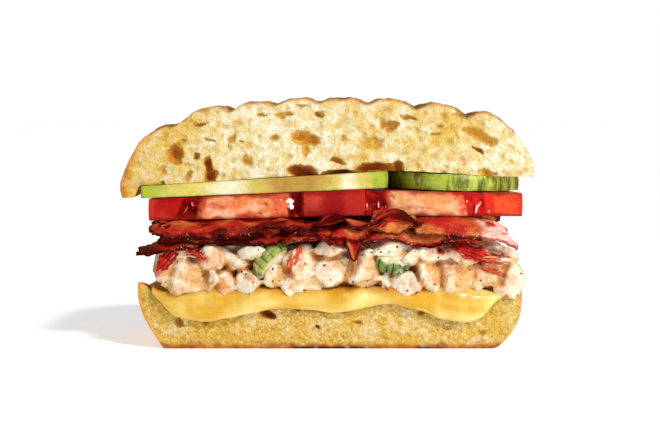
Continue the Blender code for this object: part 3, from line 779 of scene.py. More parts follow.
def bottom_bread(finish):
    """The base: a shallow dish with a rim at both ends."""

    def place(u, v, w):
        front = v < 1e-6
        side = spread(u)
        left = mix(-53.6, -61.9, np.sin(np.pi / 2 * np.minimum(1.0, w * 1.15)))
        right = mix(52.2, 61.8, np.sin(np.pi / 2 * np.minimum(1.0, w * 1.4)) ** 0.62)
        share = (side + 1) / 2
        x = mix(left, right, share)
        along = mix(*BASE_ENDS, share)
        roof = base_height(along) - 0.55 * rim_height(along) * smooth_step(0.0, 0.55, v)
        z = w * roof
        z += w * 5.0 * smooth_step(0.86, 1.0, v) * (1 - 0.9 * np.abs(side) ** 4)
        y = CUT_Y + v * (back_wall(side, (1 - w) ** 2, BACK_Y - 1.5, 7.0) - CUT_Y)
        x *= 1 - 0.05 * v**3

        named, small = crumb_bubbles(x, z, BASE_BUBBLES, 1500, (-62, 62, 1, 19), 17, 0.26, 0.95)
        grain = 0.26 * layered(x, z, 0, 1.0, 131) + 0.2 * unevenness(x, z, 0, 4.5, 135)
        to_left, to_right = x - left, right - x
        rind = smooth_step(0.2, 1.1, np.minimum(z, np.minimum(to_left, to_right)))
        y = sunk_crumb(y, (named + small) * rind + grain * smooth_step(0.0, 0.5, z))
        blister = 0.36 * layered(x, y, z, 5.0, 151) + 0.3 * smooth_step(0.2, 0.6, unevenness(x, y, z, 3.2, 153))
        y += blister * smooth_step(0.9, 1.0, v) * smooth_step(0.0, 0.2, w)
        x += blister * np.sign(side) * smooth_step(0.95, 1.0, np.abs(side)) * (1 - front) * smooth_step(0.0, 0.2, w)

        ragged = z + 0.9 * layered(x, z, 0, 2.4, 137)
        base = smooth_step(2.8, 0.6, ragged)
        ends = 0.7 * smooth_step(2.6, 0.0, to_left) + 0.35 * smooth_step(1.6, 0.0, to_right)
        outer = np.where(front, unit(base + ends), 1.0)
        under = (w > 1 - 1e-6) & ~front & (np.abs(side) < 0.96)
        crust = np.where(under, 0.0, outer)
        scorch = unit(unevenness(x, y * 0.2, 0, 5.0, 161) * 1.4 + 0.1 + 0.9 * bell(x, 5.0, 9.0))
        rind_colour = crust_colour(x, y, z, 0.95 * base - 0.1, scorch * smooth_step(1.1, 0.3, z), 171)
        golden = 0.55 + 0.45 * smooth_step(-20, -55, x) + 0.3 * smooth_step(30, 50, x)
        golden += 0.3 * smooth_step(7.0, 2.0, z)
        crumb = crumb_colour(x, z, np.where(front, named, 0.0), small * 1.5 * front, golden, 181)
        return (x, y, z), {"tint": blend(crumb, rind_colour, crust), "crust": crust}

    shaped("bottom_bread", (320, 42, 46), place, finish, "bread_bottom")


# ---- cheese ----


def melted_cheese(finish):
    """The blanket over the base: it runs forward, turns over the front edge and hangs down in lobes."""
    # Pale cheese for painted light, the cheese's own body colour, and a deeper gold for painted shade.
    light, body, shade_tone = screen(250, 230, 146), screen(226, 176, 44), screen(198, 128, 34)

    def place(u, v, w):
        side = spread(u)
        x = mix(*CHEESE_ENDS, (side + 1) / 2)
        run = np.where(v < 0.3, v / 0.3 * 0.80, 0.80 + (v - 0.3) / 0.7 * 0.20)
        lobes = bells(x, CHEESE_LOBES)
        hang = 0.9 + lobes + 0.3 * unevenness(x, 0, 0, 5.0, 5)
        hang *= 1 - 0.9 * smooth_step(49.0, 55.0, np.abs(x + 0.7))
        top = base_height(x)
        back = 20.5 - 11.0 * (np.abs(x) / 61.9) ** 6
        back_run = back - CUT_Y
        whole = back_run + CHEESE_TURN + hang
        along = run * whole
        left_over = whole - along
        round_end = np.sqrt(unit(1 - (1 - unit(left_over / CHEESE_LIP)) ** 2))
        swell = 1 + 0.16 * lobes / 4.4 + 0.22 * layered(x, along * 0.7, 0, 8.0, 6)
        ends = 1 - 0.5 * np.abs(side) ** 10
        bead = 1 + 0.85 * bell(along, back_run - 0.5, 3.4) * (1 - side**8)
        thick = CHEESE_THICK * swell * ends * mix(0.1, 1.0, round_end) * bead
        under = 0.3 + 0.6 * side**6
        lift = mix(under, under + thick, w)
        turn = np.pi / 2 * unit((along - back_run) / CHEESE_TURN)
        y = np.where(along < back_run, back - along, CUT_Y) - lift * np.sin(turn)
        z = top + lift * np.cos(turn) - np.clip(along - back_run - CHEESE_TURN, 0, None)
        low = smooth_step(5.5, 0.8, left_over)
        # Painted light: pale pools of highlight, stronger low down, and the lower part paler overall; the cloudy
        # paleness from noise is the cheese's own.
        light_pools = np.minimum(1.0, bells(x, CHEESE_LIGHT_POOLS))
        pale_and_lit = unit(light_pools * (0.5 + 0.5 * low) + 0.6 * layered(x * 0.6, z * 1.4, 0, 6.0, 8) + 0.15 * low)
        # Painted shade: deeper gold along the top under the salad, and at the very edge of the lip where it turns
        # under.
        brown = 0.7 * smooth_step(17.0, 20.0, z) * (x < 44) * (1 - 0.5 * light_pools)
        brown += 0.3 * smooth_step(0.9, 0.0, left_over)
        # Painted light: the lip's lower edge paler, as if lit through the thin cheese.
        lit_lip = smooth_step(1.8, 0.2, left_over) * smooth_step(-0.3, 0.4, unevenness(x, 0, 0, 6.0, 9))
        tint = blend(blend(blend(body, light, pale_and_lit), shade_tone, brown), light, 0.75 * lit_lip)
        return (x, y, z), {"tint": tint}

    shaped("cheese_blanket", (260, 110, 4), place, finish, "cheese")


# ---- crab salad ----


def melded(mesh, points, size):
    """One closed skin round all the bodies of a mesh, its faces about size across."""
    mesh.vertices.foreach_set("co", points.astype(np.float32).ravel())
    rough = bpy.data.objects.new("rough", mesh)
    bpy.context.scene.collection.objects.link(rough)
    skin = rough.modifiers.new("skin", "REMESH")
    skin.mode = "VOXEL"
    skin.voxel_size = size
    shaped_by = rough.evaluated_get(bpy.context.evaluated_depsgraph_get())
    whole = bpy.data.meshes.new_from_object(shaped_by)
    bpy.data.objects.remove(rough)
    bpy.data.meshes.remove(mesh)
    return whole


def relaxed(points, pairs, rounds):
    """Points drawn towards the middle of their neighbours, over and over."""
    counts = np.bincount(pairs.ravel(), minlength=len(points))
    for _ in range(rounds):
        for axis in range(3):
            near = np.bincount(pairs[:, 0], points[pairs[:, 1], axis], len(points))
            near += np.bincount(pairs[:, 1], points[pairs[:, 0], axis], len(points))
            points[:, axis] = mix(points[:, axis], near / counts, 0.5)
    return points


def facing(mesh, points):
    """The mesh's outward directions once its points are at points."""
    mesh.vertices.foreach_set("co", points.astype(np.float32).ravel())
    mesh.update()
    ways = np.empty(len(points) * 3, dtype=np.float32)
    mesh.vertices.foreach_get("normal", ways)
    return ways.reshape(-1, 3).astype(np.float64)


CRAB_WHITE = screen(255, 246, 224)
CRAB_CREAM = screen(240, 204, 138)
CRAB_TAN = screen(222, 158, 82)
# The tan-brown serves both for random stains and for painted shade in hollows; the dark one is painted shade in the
# deepest crevices.
CRAB_STAIN_AND_SHADE = screen(210, 136, 72)
CRAB_CREVICE_SHADE = screen(150, 84, 46)
CRAB_RED = screen(200, 40, 26)
CRAB_PINK = screen(240, 150, 116)
LEG_DEEP = screen(156, 8, 12)
LEG_RED = screen(218, 46, 30)
LEG_PALE = screen(238, 112, 62)


def crab_chunk(radii, seed, corner=8.0):
    """The shape of a torn chunk of crab: flat breaks, rounded by its dressing."""
    rng = random.Random(seed)
    rolled = Matrix.Rotation(rng.uniform(-0.9, 0.9), 3, "Y")
    turn = np.array(rolled @ Matrix.Rotation(rng.uniform(-0.7, 0.7), 3, "Z"))
    breaks = [(np.array(axis) * sign @ turn, rng.uniform(0.86, 1.02)) for axis in np.eye(3) for sign in (-1, 1)]
    for _ in range(8):
        way = np.array([rng.gauss(0, 1) for _ in range(3)])
        breaks.append((way / np.linalg.norm(way), rng.uniform(0.8, 1.08)))

    def shape(points):
        way = points / np.linalg.norm(points, axis=1, keepdims=True)
        total = sum(np.clip(way @ normal / reach, 0, None) ** corner for normal, reach in breaks)
        return way * np.array(radii) * (total ** (-1 / corner))[:, None]

    return shape


def bodies(name, makers):
    """A mesh of many small bodies, in millimetres. Each maker adds its body, and shapes its own points after."""
    bm = bmesh.new()
    shapers = []
    for make, shape in makers:
        start = len(bm.verts)
        make(bm)
        shapers.append((start, len(bm.verts), shape))
    mesh = bpy.data.meshes.new(name)
    bm.to_mesh(mesh)
    bm.free()
    points = read_points(mesh)
    tint = np.ones((len(points), 3))
    for start, end, shape in shapers:
        points[start:end], tint[start:end] = shape(points[start:end])
    return mesh, points, tint


def many(name, makers, finish, node):
    """One piece of many small bodies."""
    mesh, points, tint = bodies(name, makers)
    return finished(name, mesh, points, {"tint": tint}, finish, node)


def ball(subdivisions):
    """Adds a ball of radius 1 to a mesh."""
    return lambda bm: bmesh.ops.create_icosphere(bm, subdivisions=subdivisions, radius=1.0)


def ring_places():
    """Where lumps show round the sides and the back, as the solid has them."""
    rng = random.Random(11)
    sides = [(-52.0, y) for y in (-16, -4, 8)] + [(54.0, y) for y in (-16, -4, 8)]
    rear = [(x, 17.0 - 4.0 * (abs(x) / 50) ** 4) for x in range(-48, 52, 12)]
    for x, y in sides + rear:
        radii = (rng.uniform(5.2, 7.4), rng.uniform(5.2, 7.4), rng.uniform(5.6, 7.4))
        yield (x + rng.uniform(-1, 1), y + rng.uniform(-1, 1), rng.uniform(24.5, 27.5)), radii


def salad(finish):
    """The crab: chunks pressed together over a core, under one coat of dressing."""
    chunks = []
    for i, (x, z, half_x, half_z, white, yellow) in enumerate(FRONT_LUMPS):
        rng = random.Random(i)
        middle = (x, LUMPS_Y + rng.uniform(-0.7, 1.5), z)
        chunks.append((middle, (half_x * LUMPS_SWELL, LUMPS_DEPTH, half_z * LUMPS_SWELL), white, yellow))
    rng = random.Random(5)
    for middle, radii in ring_places():
        chunks.append((middle, radii, rng.uniform(0.3, 0.9), rng.random() * 0.7))
    for i in range(22):
        x = -54 + 112 * (i + rng.random()) / 22
        radii = (rng.uniform(1.6, 3.2), rng.uniform(1.6, 2.4), rng.uniform(1.3, 2.4))
        chunks.append(((x, rng.uniform(-34.0, -32.0), rng.uniform(18.5, 32.5)), radii, rng.random(), rng.random()))
    for i in range(60):
        turn = math.tau * (i + rng.random()) / 60
        x, y = 54 * math.cos(turn), -4 + 24 * math.sin(turn)
        radii = (rng.uniform(2.4, 5.0), rng.uniform(2.4, 4.4), rng.uniform(2.0, 4.0))
        if y > -22:
            chunks.append(((x, y, rng.uniform(20.0, 32.5)), radii, rng.random(), rng.random()))

    def placed(middle, radii, seed):
        chunk = crab_chunk(radii, seed)
        return lambda points: (chunk(points) + np.array(middle), 1.0)

    def core(points):
        u, v, w = points.T
        x = mix(*CORE_ENDS, u)
        y = mix(-30.0, 18.5 - 5.0 * np.abs(2 * u - 1) ** 6, v)
        return np.stack([x, y, mix(base_height(x) + 1.0, CORE_TOP, w)], axis=-1), 1.0

    def add_core(bm):
        box = cut_box((50, 1, 1))
        part = bpy.data.meshes.new("core")
        box.to_mesh(part)
        box.free()
        bm.from_mesh(part)
        bpy.data.meshes.remove(part)

    makers = [(ball(4), placed(middle, radii, 100 + i)) for i, (middle, radii, _, _) in enumerate(chunks)]
    mesh, points, _ = bodies("crab_lumps", [(add_core, core), *makers])
    mesh = melded(mesh, points, SKIN_SIZE)
    points = read_points(mesh)
    pairs = np.empty(len(mesh.edges) * 2, dtype=np.int32)
    mesh.edges.foreach_get("vertices", pairs)
    pairs = pairs.reshape(-1, 2)
    points = relaxed(points, pairs, 2)
    ways = facing(mesh, relaxed(points.copy(), pairs, 6))

    middles = np.array([c[0] for c in chunks])
    sizes = np.array([c[1] for c in chunks])
    away = np.stack([np.sum(((points - m) / s) ** 2, axis=1) for m, s in zip(middles, sizes)], axis=-1)
    owner = np.argmin(away, axis=1)
    angles = [random.Random(900 + i).uniform(-1.5, 1.5) for i in range(len(chunks))]
    turns = np.array([Matrix.Rotation(angle, 3, "Y") for angle in angles])
    grain = np.einsum("nij,nj->ni", turns[owner], points) * np.array([0.2, 0.7, 1.0])
    fibres = layered(*grain.T, 1.4, 41, 2)
    folds = layered(*points.T, 3.6, 43)
    terraces = 3.2 * layered(*(grain * np.array([1.6, 1.0, 1.0])).T, 5.0, 47, 2)
    torn = np.floor(terraces) + smooth_step(0.42, 0.58, terraces - np.floor(terraces))
    tears = 1 - np.abs(smooth_step(0.36, 0.64, terraces - np.floor(terraces)) * 2 - 1)
    deep = np.sum((relaxed(points.copy(), pairs, 60) - points) * ways, axis=1)
    coated = smooth_step(-0.1, 0.35, layered(*points.T, 5.0, 53) + 0.25 * ways[:, 2])
    rough = 1 - 0.65 * coated
    points += ways * (0.34 * fibres * rough + 0.5 * folds + 0.36 * torn * rough + 0.12 * coated - 0.3)[:, None]
    points += ways * (-0.5 * smooth_step(0.0, 0.5, deep))[:, None]

    white = np.array([c[2] for c in chunks])[owner]
    yellow = np.array([c[3] for c in chunks])[owner]
    meat = blend(CRAB_CREAM, CRAB_TAN, yellow * 0.6 + 0.9 * fibres + 0.45 * tears)
    # Whiter where the dressing lies, and where the surface bulges out, which is painted light.
    cover = 0.85 * coated + 0.55 * white - 0.2 + 0.5 * smooth_step(0.0, -0.5, deep) - 0.4 * tears * rough
    colour = blend(meat, CRAB_WHITE, 1.5 * cover - 0.25)
    colour = blend(colour, CRAB_PINK, 0.35 * smooth_step(0.35, 0.7, unevenness(*points.T, 4.5, 59)))
    stain = smooth_step(0.25, 0.6, layered(*points.T, 2.6, 61)) * (1 - 0.6 * coated)
    colour = blend(colour, CRAB_STAIN_AND_SHADE, 0.6 * stain)
    for x0, z0, x1, z1, width, pale in RED_MEAT:
        course = np.array([x1 - x0, z1 - z0])
        along = unit(((points[:, 0] - x0) * course[0] + (points[:, 2] - z0) * course[1]) / (course @ course))
        off = np.hypot(points[:, 0] - x0 - along * course[0], points[:, 2] - z0 - along * course[1])
        red = smooth_step(0.75, 0.35, off / width + 0.25 * fibres) * (points[:, 1] < -28)
        colour = blend(colour, blend(CRAB_PINK, CRAB_RED, 0.6 + 1.4 * fibres), (0.8 - 0.6 * pale) * red)
    # Painted shade: tan-brown in the hollows between the chunks, darkest in the deepest crevices.
    shade = smooth_step(0.0, 0.5, deep + 0.1 * fibres)
    colour = blend(colour, CRAB_STAIN_AND_SHADE, 0.7 * shade)
    colour = blend(colour, CRAB_CREVICE_SHADE, 0.9 * smooth_step(0.6, 1.2, deep))
    looks = {"tint": colour, "wet": unit(0.25 + 0.75 * coated - 0.5 * shade)}
    return finished("crab_lumps", mesh, points, looks, finish, "crab_salad")


def fibre_along(start, end, radius, colour):
    """A thin strand of leg meat from start to end."""
    start, end = np.array(start), np.array(end)
    course = (end - start) / np.linalg.norm(end - start)
    across = np.cross(course, (0, 1, 0))
    across /= np.linalg.norm(across)
    out = np.cross(across, course)

    def shape(points):
        along = (points[:, :1] + 1) / 2
        slim = 1 + 0.4 * np.cos(along * math.pi * 2.4)
        middle = start + (end - start) * along
        placed = middle + across * points[:, 2:] * radius * slim + out * points[:, 1:2] * radius * 0.8
        return placed, np.tile(colour, (len(points), 1))

    return shape


def red_meat(lumps, finish):
    """Bundles of red and white strands, laid where the crab's surface is."""
    tree = BVHTree.FromObject(lumps, bpy.context.evaluated_depsgraph_get())
    rng = random.Random(31)

    def on_surface(x, z, out):
        hit = tree.ray_cast(Vector((x * MM, -0.06, z * MM)), Vector((0, 1, 0)))[0]
        y = hit.y / MM if hit is not None and hit.y < -0.024 else -32.0
        return x, y - out, z

    def flake(x0, z0, along, across, length, width, white, seed):
        """A torn piece of leg meat that lies on the surface, red outside, with paler strands showing."""

        def shape(points):
            run, wide = points[:, 0], points[:, 2]
            torn = 1 + 0.45 * unevenness(run * length, wide, 0, 1.3, seed)
            ragged = 1 + 0.26 * unevenness(wide * width, 0, 0, 0.8, seed + 1)
            reach = (run * ragged + 1) / 2 * length
            x = x0 + along[0] * reach + across[0] * wide * torn * width / 2
            z = z0 + along[1] * reach + across[1] * wide * torn * width / 2
            grooves = unevenness(wide * width * 1.6, run * length * 0.18, 0, 0.9, seed + 2)
            y = np.array([on_surface(a, b, 0.0)[1] for a, b in zip(x, z)])
            y -= 0.25 - 0.45 * points[:, 1] + 0.22 * grooves * (points[:, 1] < 0)
            strands = unevenness(wide * width * 1.3, run * length * 0.2, 0, 0.8, seed + 3)
            streak = smooth_step(0.75 - 0.7 * white, 0.95 - 0.5 * white, strands)
            colour = blend(LEG_DEEP, LEG_RED, smooth_step(-0.4, 0.6, grooves))
            colour = blend(blend(colour, LEG_PALE, 0.7 * white), CRAB_WHITE, 0.8 * streak)
            return np.stack([x, y, z], axis=-1), colour

        return shape

    makers = []
    for number, (x0, z0, x1, z1, width, white) in enumerate(RED_MEAT):
        length = math.hypot(x1 - x0, z1 - z0)
        along = np.array([x1 - x0, z1 - z0]) / length
        across = np.array([-along[1], along[0]])
        makers.append((ball(5), flake(x0, z0, along, across, length, width, white, 300 + 7 * number)))
        count = max(2, round(width * length * 0.35))
        for _ in range(count):
            share = rng.uniform(-0.5, 0.5)
            reach = length * rng.uniform(0.2, 0.6)
            start = np.array([x0, z0]) + along * rng.uniform(0, length - reach) + across * share * width
            end = start + along * reach + across * rng.uniform(-0.15, 0.15) * reach
            pale = rng.random() < 0.06 + white * 0.6
            red = blend(blend(screen(150, 8, 12), CRAB_RED, rng.random()), screen(240, 116, 60), white)
            colour = blend(CRAB_PINK, CRAB_WHITE, rng.random()) if pale else red
            out = rng.uniform(-0.25, 0.2)
            radius = rng.uniform(0.25, 0.6)
            strand = fibre_along(on_surface(*start, out), on_surface(*end, out), radius, colour)
            makers.append((ball(2), strand))
    many("crab_leg_meat", makers, finish, "crab_salad")


def fleck(middle, radii, turn, colour):
    """A flat grain of pepper or herb."""
    turned = np.array(Matrix.Rotation(turn, 3, "Y"))

    def shape(points):
        return points * np.array(radii) @ turned.T + np.array(middle), np.tile(colour, (len(points), 1))

    return shape


def scattered_flecks(lumps, finish):
    """Cracked pepper and herbs, pressed on the lumps where they face out."""
    points = read_points(lumps.data) / MM
    ways = facing(lumps.data, points * MM)
    rng = random.Random(21)
    shows = np.flatnonzero((ways[:, 1] < -0.35) & (points[:, 1] < -31.0) | (points[:, 1] > 16))
    pepper, herb, paprika = screen(116, 68, 40), screen(112, 112, 44), screen(188, 92, 44)
    makers = []
    for _ in range(FLECKS):
        i = int(shows[int(rng.random() * len(shows))])
        kind = rng.random()
        colour = pepper if kind < 0.55 else (paprika if kind < 0.88 else herb)
        size = 0.12 + 0.34 * rng.random() ** 2.4 if kind < 0.88 else rng.uniform(0.2, 0.36)
        radii = (size * rng.uniform(1.0, 1.8), size * 0.6, size)
        middle = points[i] + ways[i] * 0.05
        makers.append((ball(1), fleck(middle, radii, rng.uniform(0, 3.1), colour)))
    many("pepper_and_herbs", makers, finish, "crab_salad")


# ---- celery ----


def celery(name, finish):
    """A slice across a rib of celery: a bent strip, ridged outside and pale inside."""
    middle, (turn, tilt, bend), rib_height, skin, shade_and_mottle_green = CELERY[name]
    skin, shade_and_mottle_green, inner, pale = screen(*skin), screen(*shade_and_mottle_green), screen(212, 208, 150), screen(242, 230, 204)
    centre_radius = (CELERY_OUTER + CELERY_INNER) / 2
    turned = Matrix.Rotation(math.radians(turn), 3, "Y")
    tilted = Matrix.Rotation(math.radians(tilt), 3, turned @ Vector((1, 0, 0)))
    pose = np.array(tilted @ turned)

    def place(u, v, w):
        side = 2 * u - 1
        angle = np.radians(side * bend / 2)
        thin = 1 - 0.35 * side * side
        rib = np.abs(np.sin(side * 8.2 + 0.4 + 0.9 * unevenness(side * 3.0, 0, 0, 1.0, 97)))
        ribs = rib_height * (1 + 0.45 * unevenness(side * 4.0, 0, 0, 1.0, 99)) * rib**0.6
        ribs *= smooth_step(0.75, 1.0, w)
        corner = 1 - 0.14 * np.abs(2 * v - 1) ** 8
        radius = centre_radius + (w - 0.5) * (CELERY_OUTER - CELERY_INNER) * thin * corner + ribs
        local = np.stack([np.sin(angle) * radius, (v - 0.5) * CELERY_THICK, np.cos(angle) * radius], axis=-1)
        local[:, 2] -= centre_radius
        placed = local @ pose.T + np.array(middle)
        placed += 0.2 * layered(*local.T, 1.6, 91)[:, None]
        colour = blend(pale, inner, smooth_step(0.35, 0.8, w))
        # Painted shade: darker green in the valleys between the ribs, also mottled at random.
        outer = blend(skin, shade_and_mottle_green, 1.1 * (1 - rib) ** 1.5 + 0.7 * layered(*local.T, 3.0, 93))
        colour = blend(colour, outer, smooth_step(0.78, 0.92, w))
        smear = layered(*placed.T, 4.0, 95)
        inside = smooth_step(0.0, 0.4, smear + 0.6 * (0.5 - w))
        dressing = np.where(w < 0.9, inside, 0.7 * smooth_step(0.35, 0.6, smear))
        return tuple(placed.T), {"tint": blend(colour, CRAB_WHITE, 0.85 * dressing)}

    shaped(name + "_slice", (90, 24, 34), place, finish, name)


# ---- bacon ----


def bacon_strip(name, finish, spec, seed):
    """A fried strip that ripples along its front edge and runs back into the sandwich."""
    node, edge, behind, (y0, y1), reach, (fried_and_shade, amber_share, fat_share), (left_trim, right_trim) = spec
    x0, x1 = edge[0][0], edge[-1][0]
    maroon, red, amber = screen(92, 9, 9), screen(190, 40, 28), screen(222, 128, 64)
    fat, burnt = screen(252, 214, 196), screen(56, 3, 2)
    depth = abs(y1 - y0)

    def middle_height(x, y):
        share = unit(np.abs(y - y0) / reach)
        share = 1 - (1 - share) ** 1.6
        ripple = 0.5 * np.sin(0.35 * x + y0) + 0.4 * unevenness(x, y * 0.6, 0, 5.0, seed + 9)
        return mix(through(edge, x), through(behind, x) + ripple, share)

    def place(u, v, w):
        x = mix(x0 + left_trim * smooth_step(0.02, 0.6, v), x1 - right_trim * smooth_step(0.02, 0.6, v), u)
        across = v**1.35
        y = mix(y0, y1, across)
        into = across * depth
        z = middle_height(x, y)
        angle = np.arctan((middle_height(x + 0.2, y) - middle_height(x - 0.2, y)) / 0.4)
        rounding = np.sqrt(unit(1 - (1 - unit(np.minimum(v, 1 - v) / 0.02)) ** 2))
        slim = (mix(0.5, 1.0, smooth_step(0.0, 4.0, into)) + 0.25 * bell(into, 0.5, 0.4)) * CURLED.get(name, 1.0)
        thick = BACON_THICK * (0.86 + 0.3 * layered(x, y, 0, 5.0, seed)) * mix(0.4, 1.0, rounding) * slim
        off = (w - 0.5) * thick
        front = 1 - smooth_step(0.0, 5.0, into)
        ragged = 0.7 * unevenness(x, 0, 0, 2.6, seed + 2)
        ragged += 0.3 * unevenness(x, 0, 0, 1.1, seed + 3) * smooth_step(1.5, 0.0, into)
        wander = 0.6 * np.sin(x * 0.31 + y0) + ragged * front
        ruffle = 0.5 * unevenness(x, into * 0.35, 0, 3.6, seed + 8) * front
        crisp = 0.24 * unevenness(x, into, 0, 0.9, seed + 13) * smooth_step(2.4, 0.4, into)
        blister = ruffle + 0.36 * layered(x * 0.7, into * 1.3, 0, 2.2, seed + 4) + crisp
        end = 1.2 * unevenness(y, 0, 0, 1.8, seed + 5) * (bell(u, 0, 0.03) - bell(u, 1, 0.03))
        streak = into * 0.2 + 1.2 * layered(x * 0.16, into * 0.6, 0, 5.0, seed + 6)
        bands = unit(0.5 + 0.8 * np.sin(streak * math.tau))
        face = unit(amber_share + 0.55 * (bands - 0.5) + 0.9 * layered(x * 0.4, into, 0, 4.0, seed + 7))
        colour = blend(blend(maroon, red, smooth_step(0.0, 0.4, face)), amber, smooth_step(0.45, 1.0, face))
        marbled = layered(x * 0.5, into, 0, 2.2, seed + 11)
        pale_end = smooth_step(46.4, 52.0, x + 3.2 * marbled) * (1 - fried_and_shade) * (y0 < 0)
        fatty = smooth_step(0.2, 0.6, marbled + 0.5 * fat_share) * fat_share
        veined = layered(x * 0.35 + into * 0.8, into * 0.9 - x * 0.5, 0, 2.4, seed + 15)
        fatty = np.maximum(fatty, pale_end * smooth_step(-0.42, -0.1, veined))
        colour = blend(colour, fat, 0.92 * fatty)
        rim = np.maximum(smooth_step(0.035, 0.0, v), smooth_step(0.03, 0.0, np.minimum(u, 1 - u)))
        # Burnt along the rims, and darkened all over by its darkness: the fried colour, and painted shade on the
        # strips that lie in shadow.
        colour = blend(colour, blend(burnt, screen(168, 22, 20), pale_end), 0.88 * rim + fried_and_shade * 0.75)
        wet = unit(1.1 - 0.7 * fried_and_shade) * np.ones_like(x)
        side = 1 if y0 < 0 else -1
        placed = (x - np.sin(angle) * off + end, y + wander * side, z + np.cos(angle) * off + blister)
        # Painted sparkles: pale specks for glints of light, in clusters along the front edges.
        clusters = np.minimum(1.0, bells(x, PAINTED_SPARKLES)) * max(0.0, 1 - 3 * fried_and_shade)
        beads = clusters * smooth_step(3.6, 0.4, into) * (y0 < 0)
        return placed, {"tint": colour, "wet": wet, "beads": 0.9 * beads}

    wide = x1 - x0
    counts = (int(min(220, 40 + wide * 4)), 64 if depth > 20 else 40, 5)
    shaped(name + "_rasher", counts, place, finish, node)


# ---- tomato and avocado ----


# Bands of a tomato slice from left to right: where each starts, at the bottom and at the top, its colour,
# how wet it is, how far it is sunk, and how streaked.
TOMATO_LEFT_BANDS = (
    (-60.0, -60.0, (180, 22, 20), 0.3, 0.0, 0.5),
    (-49.4, -46.9, (122, 6, 6), 1.0, 2.0, 0.2),
    (-43.4, -41.0, (196, 78, 40), 0.9, 0.8, 0.5),
    (-41.6, -38.6, (236, 140, 92), 0.4, 0.0, 1.0),
    (-31.0, -30.0, (232, 132, 76), 0.4, 0.0, 1.0),
    (-18.4, -18.8, (236, 120, 74), 0.9, 0.4, 0.6),
    (-13.6, -12.8, (120, 8, 8), 1.0, 2.8, 0.2),
    (-8.6, -9.0, (174, 44, 34), 0.5, 0.0, 0.5),
    (-2.0, -1.0, (166, 24, 26), 0.5, 0.1, 0.5),
    (4.6, 4.0, (188, 44, 36), 0.5, 0.0, 0.5),
)
TOMATO_RIGHT_BANDS = (
    (10.0, 10.0, (140, 6, 10), 1.0, 1.6, 0.3),
    (18.6, 18.0, (214, 88, 44), 0.8, 0.5, 0.5),
    (19.8, 19.4, (242, 174, 118), 0.4, 0.0, 1.0),
    (31.0, 30.0, (240, 156, 96), 0.4, 0.0, 1.0),
    (41.4, 38.6, (222, 88, 48), 0.5, 0.2, 0.8),
    (44.4, 42.6, (204, 34, 30), 1.0, 1.6, 0.2),
    (50.0, 48.6, (230, 52, 38), 1.0, 0.7, 0.2),
    (52.4, 52.0, (234, 84, 44), 0.5, 0.0, 0.5),
)

# Wet facets that catch the light: along X, height, half width, half height, turn in degrees.
TOMATO_LEFT_GLINTS = (
    (-12.5, 46.6, 1.3, 2.3, -24), (-46.4, 44.6, 0.4, 1.8, 28), (-44.2, 46.6, 0.5, 1.1, -20),
    (-20.6, 46.4, 0.5, 0.6, 0), (-17.4, 44.4, 0.5, 0.5, 0), (-22.8, 43.6, 0.7, 0.4, 0),
    (-15.6, 48.0, 0.8, 0.4, 0), (-42.0, 43.8, 0.3, 0.9, 20),
)
TOMATO_RIGHT_GLINTS = (
    (47.4, 45.4, 0.7, 3.0, 32), (19.8, 48.6, 0.6, 1.0, 10), (15.6, 46.4, 0.4, 1.4, 0), (44.0, 47.4, 0.5, 0.8, 0),
    (17.8, 45.6, 0.3, 0.8, 20), (51.0, 44.4, 0.4, 0.9, 20),
)

TOMATO_PALE = screen(255, 216, 176)
TOMATO_VEIN = screen(190, 44, 30)
TOMATO_FLUSH = screen(224, 84, 62)
TOMATO_EDGE = screen(146, 18, 16)
TOMATO_SKIN = screen(196, 40, 30)

AVOCADO_CREAM = screen(253, 243, 208)
AVOCADO_YELLOW = screen(222, 204, 98)
AVOCADO_TAN = screen(184, 130, 44)
AVOCADO_GREEN = screen(176, 190, 48)
AVOCADO_RIM = screen(182, 194, 62)


def slope(x0, z0, x1, z1):
    """A straight level from (x0, z0) to (x1, z1)."""
    return lambda x: z0 + (z1 - z0) * (x - x0) / (x1 - x0)


def half_disc(node, finish, middle, radius, front, depth, levels, counts, looks, recess=None, back=False):
    """A slice with a straight front edge, or a straight back edge where back is set, between two levels."""
    name = node + "_slice"
    floor, roof = levels

    def place(u, v, w):
        side = np.sin((2 * u - 1) * np.pi / 2) * 0.35 + (2 * u - 1) * 0.65
        share = (1 - v) if back else v
        flat = share < 1e-6
        x = middle + radius * side * np.sqrt(1 - share * share / 2)
        bulge = 0.9 * np.sin(np.pi * w) * np.maximum(share, np.abs(side) ** 6)
        reach = share * np.sqrt(1 - side * side / 2) * (depth + bulge)
        x = x + 0.2 * bulge * side
        y = front + depth - reach if back else front + reach
        soften = 0.35 * (1 - np.sqrt(unit(1 - unit(np.abs(2 * w - 1) - 0.86) ** 2 / 0.0196)))
        y = y + np.where(flat, soften, 0.0) * (-1 if back else 1)
        z = mix(floor(x), roof(x), w)
        if recess is not None:
            y = y + np.where(flat, recess(x, w), 0.0)
        given = looks(x, y, z, side, share, w)
        uneven = 0.14 * layered(x, y, z, 3.0, len(name))
        return (x, y + uneven * (1 - 0.8 * flat), z + uneven * 0.5), given

    shaped(name, counts, place, finish, node)


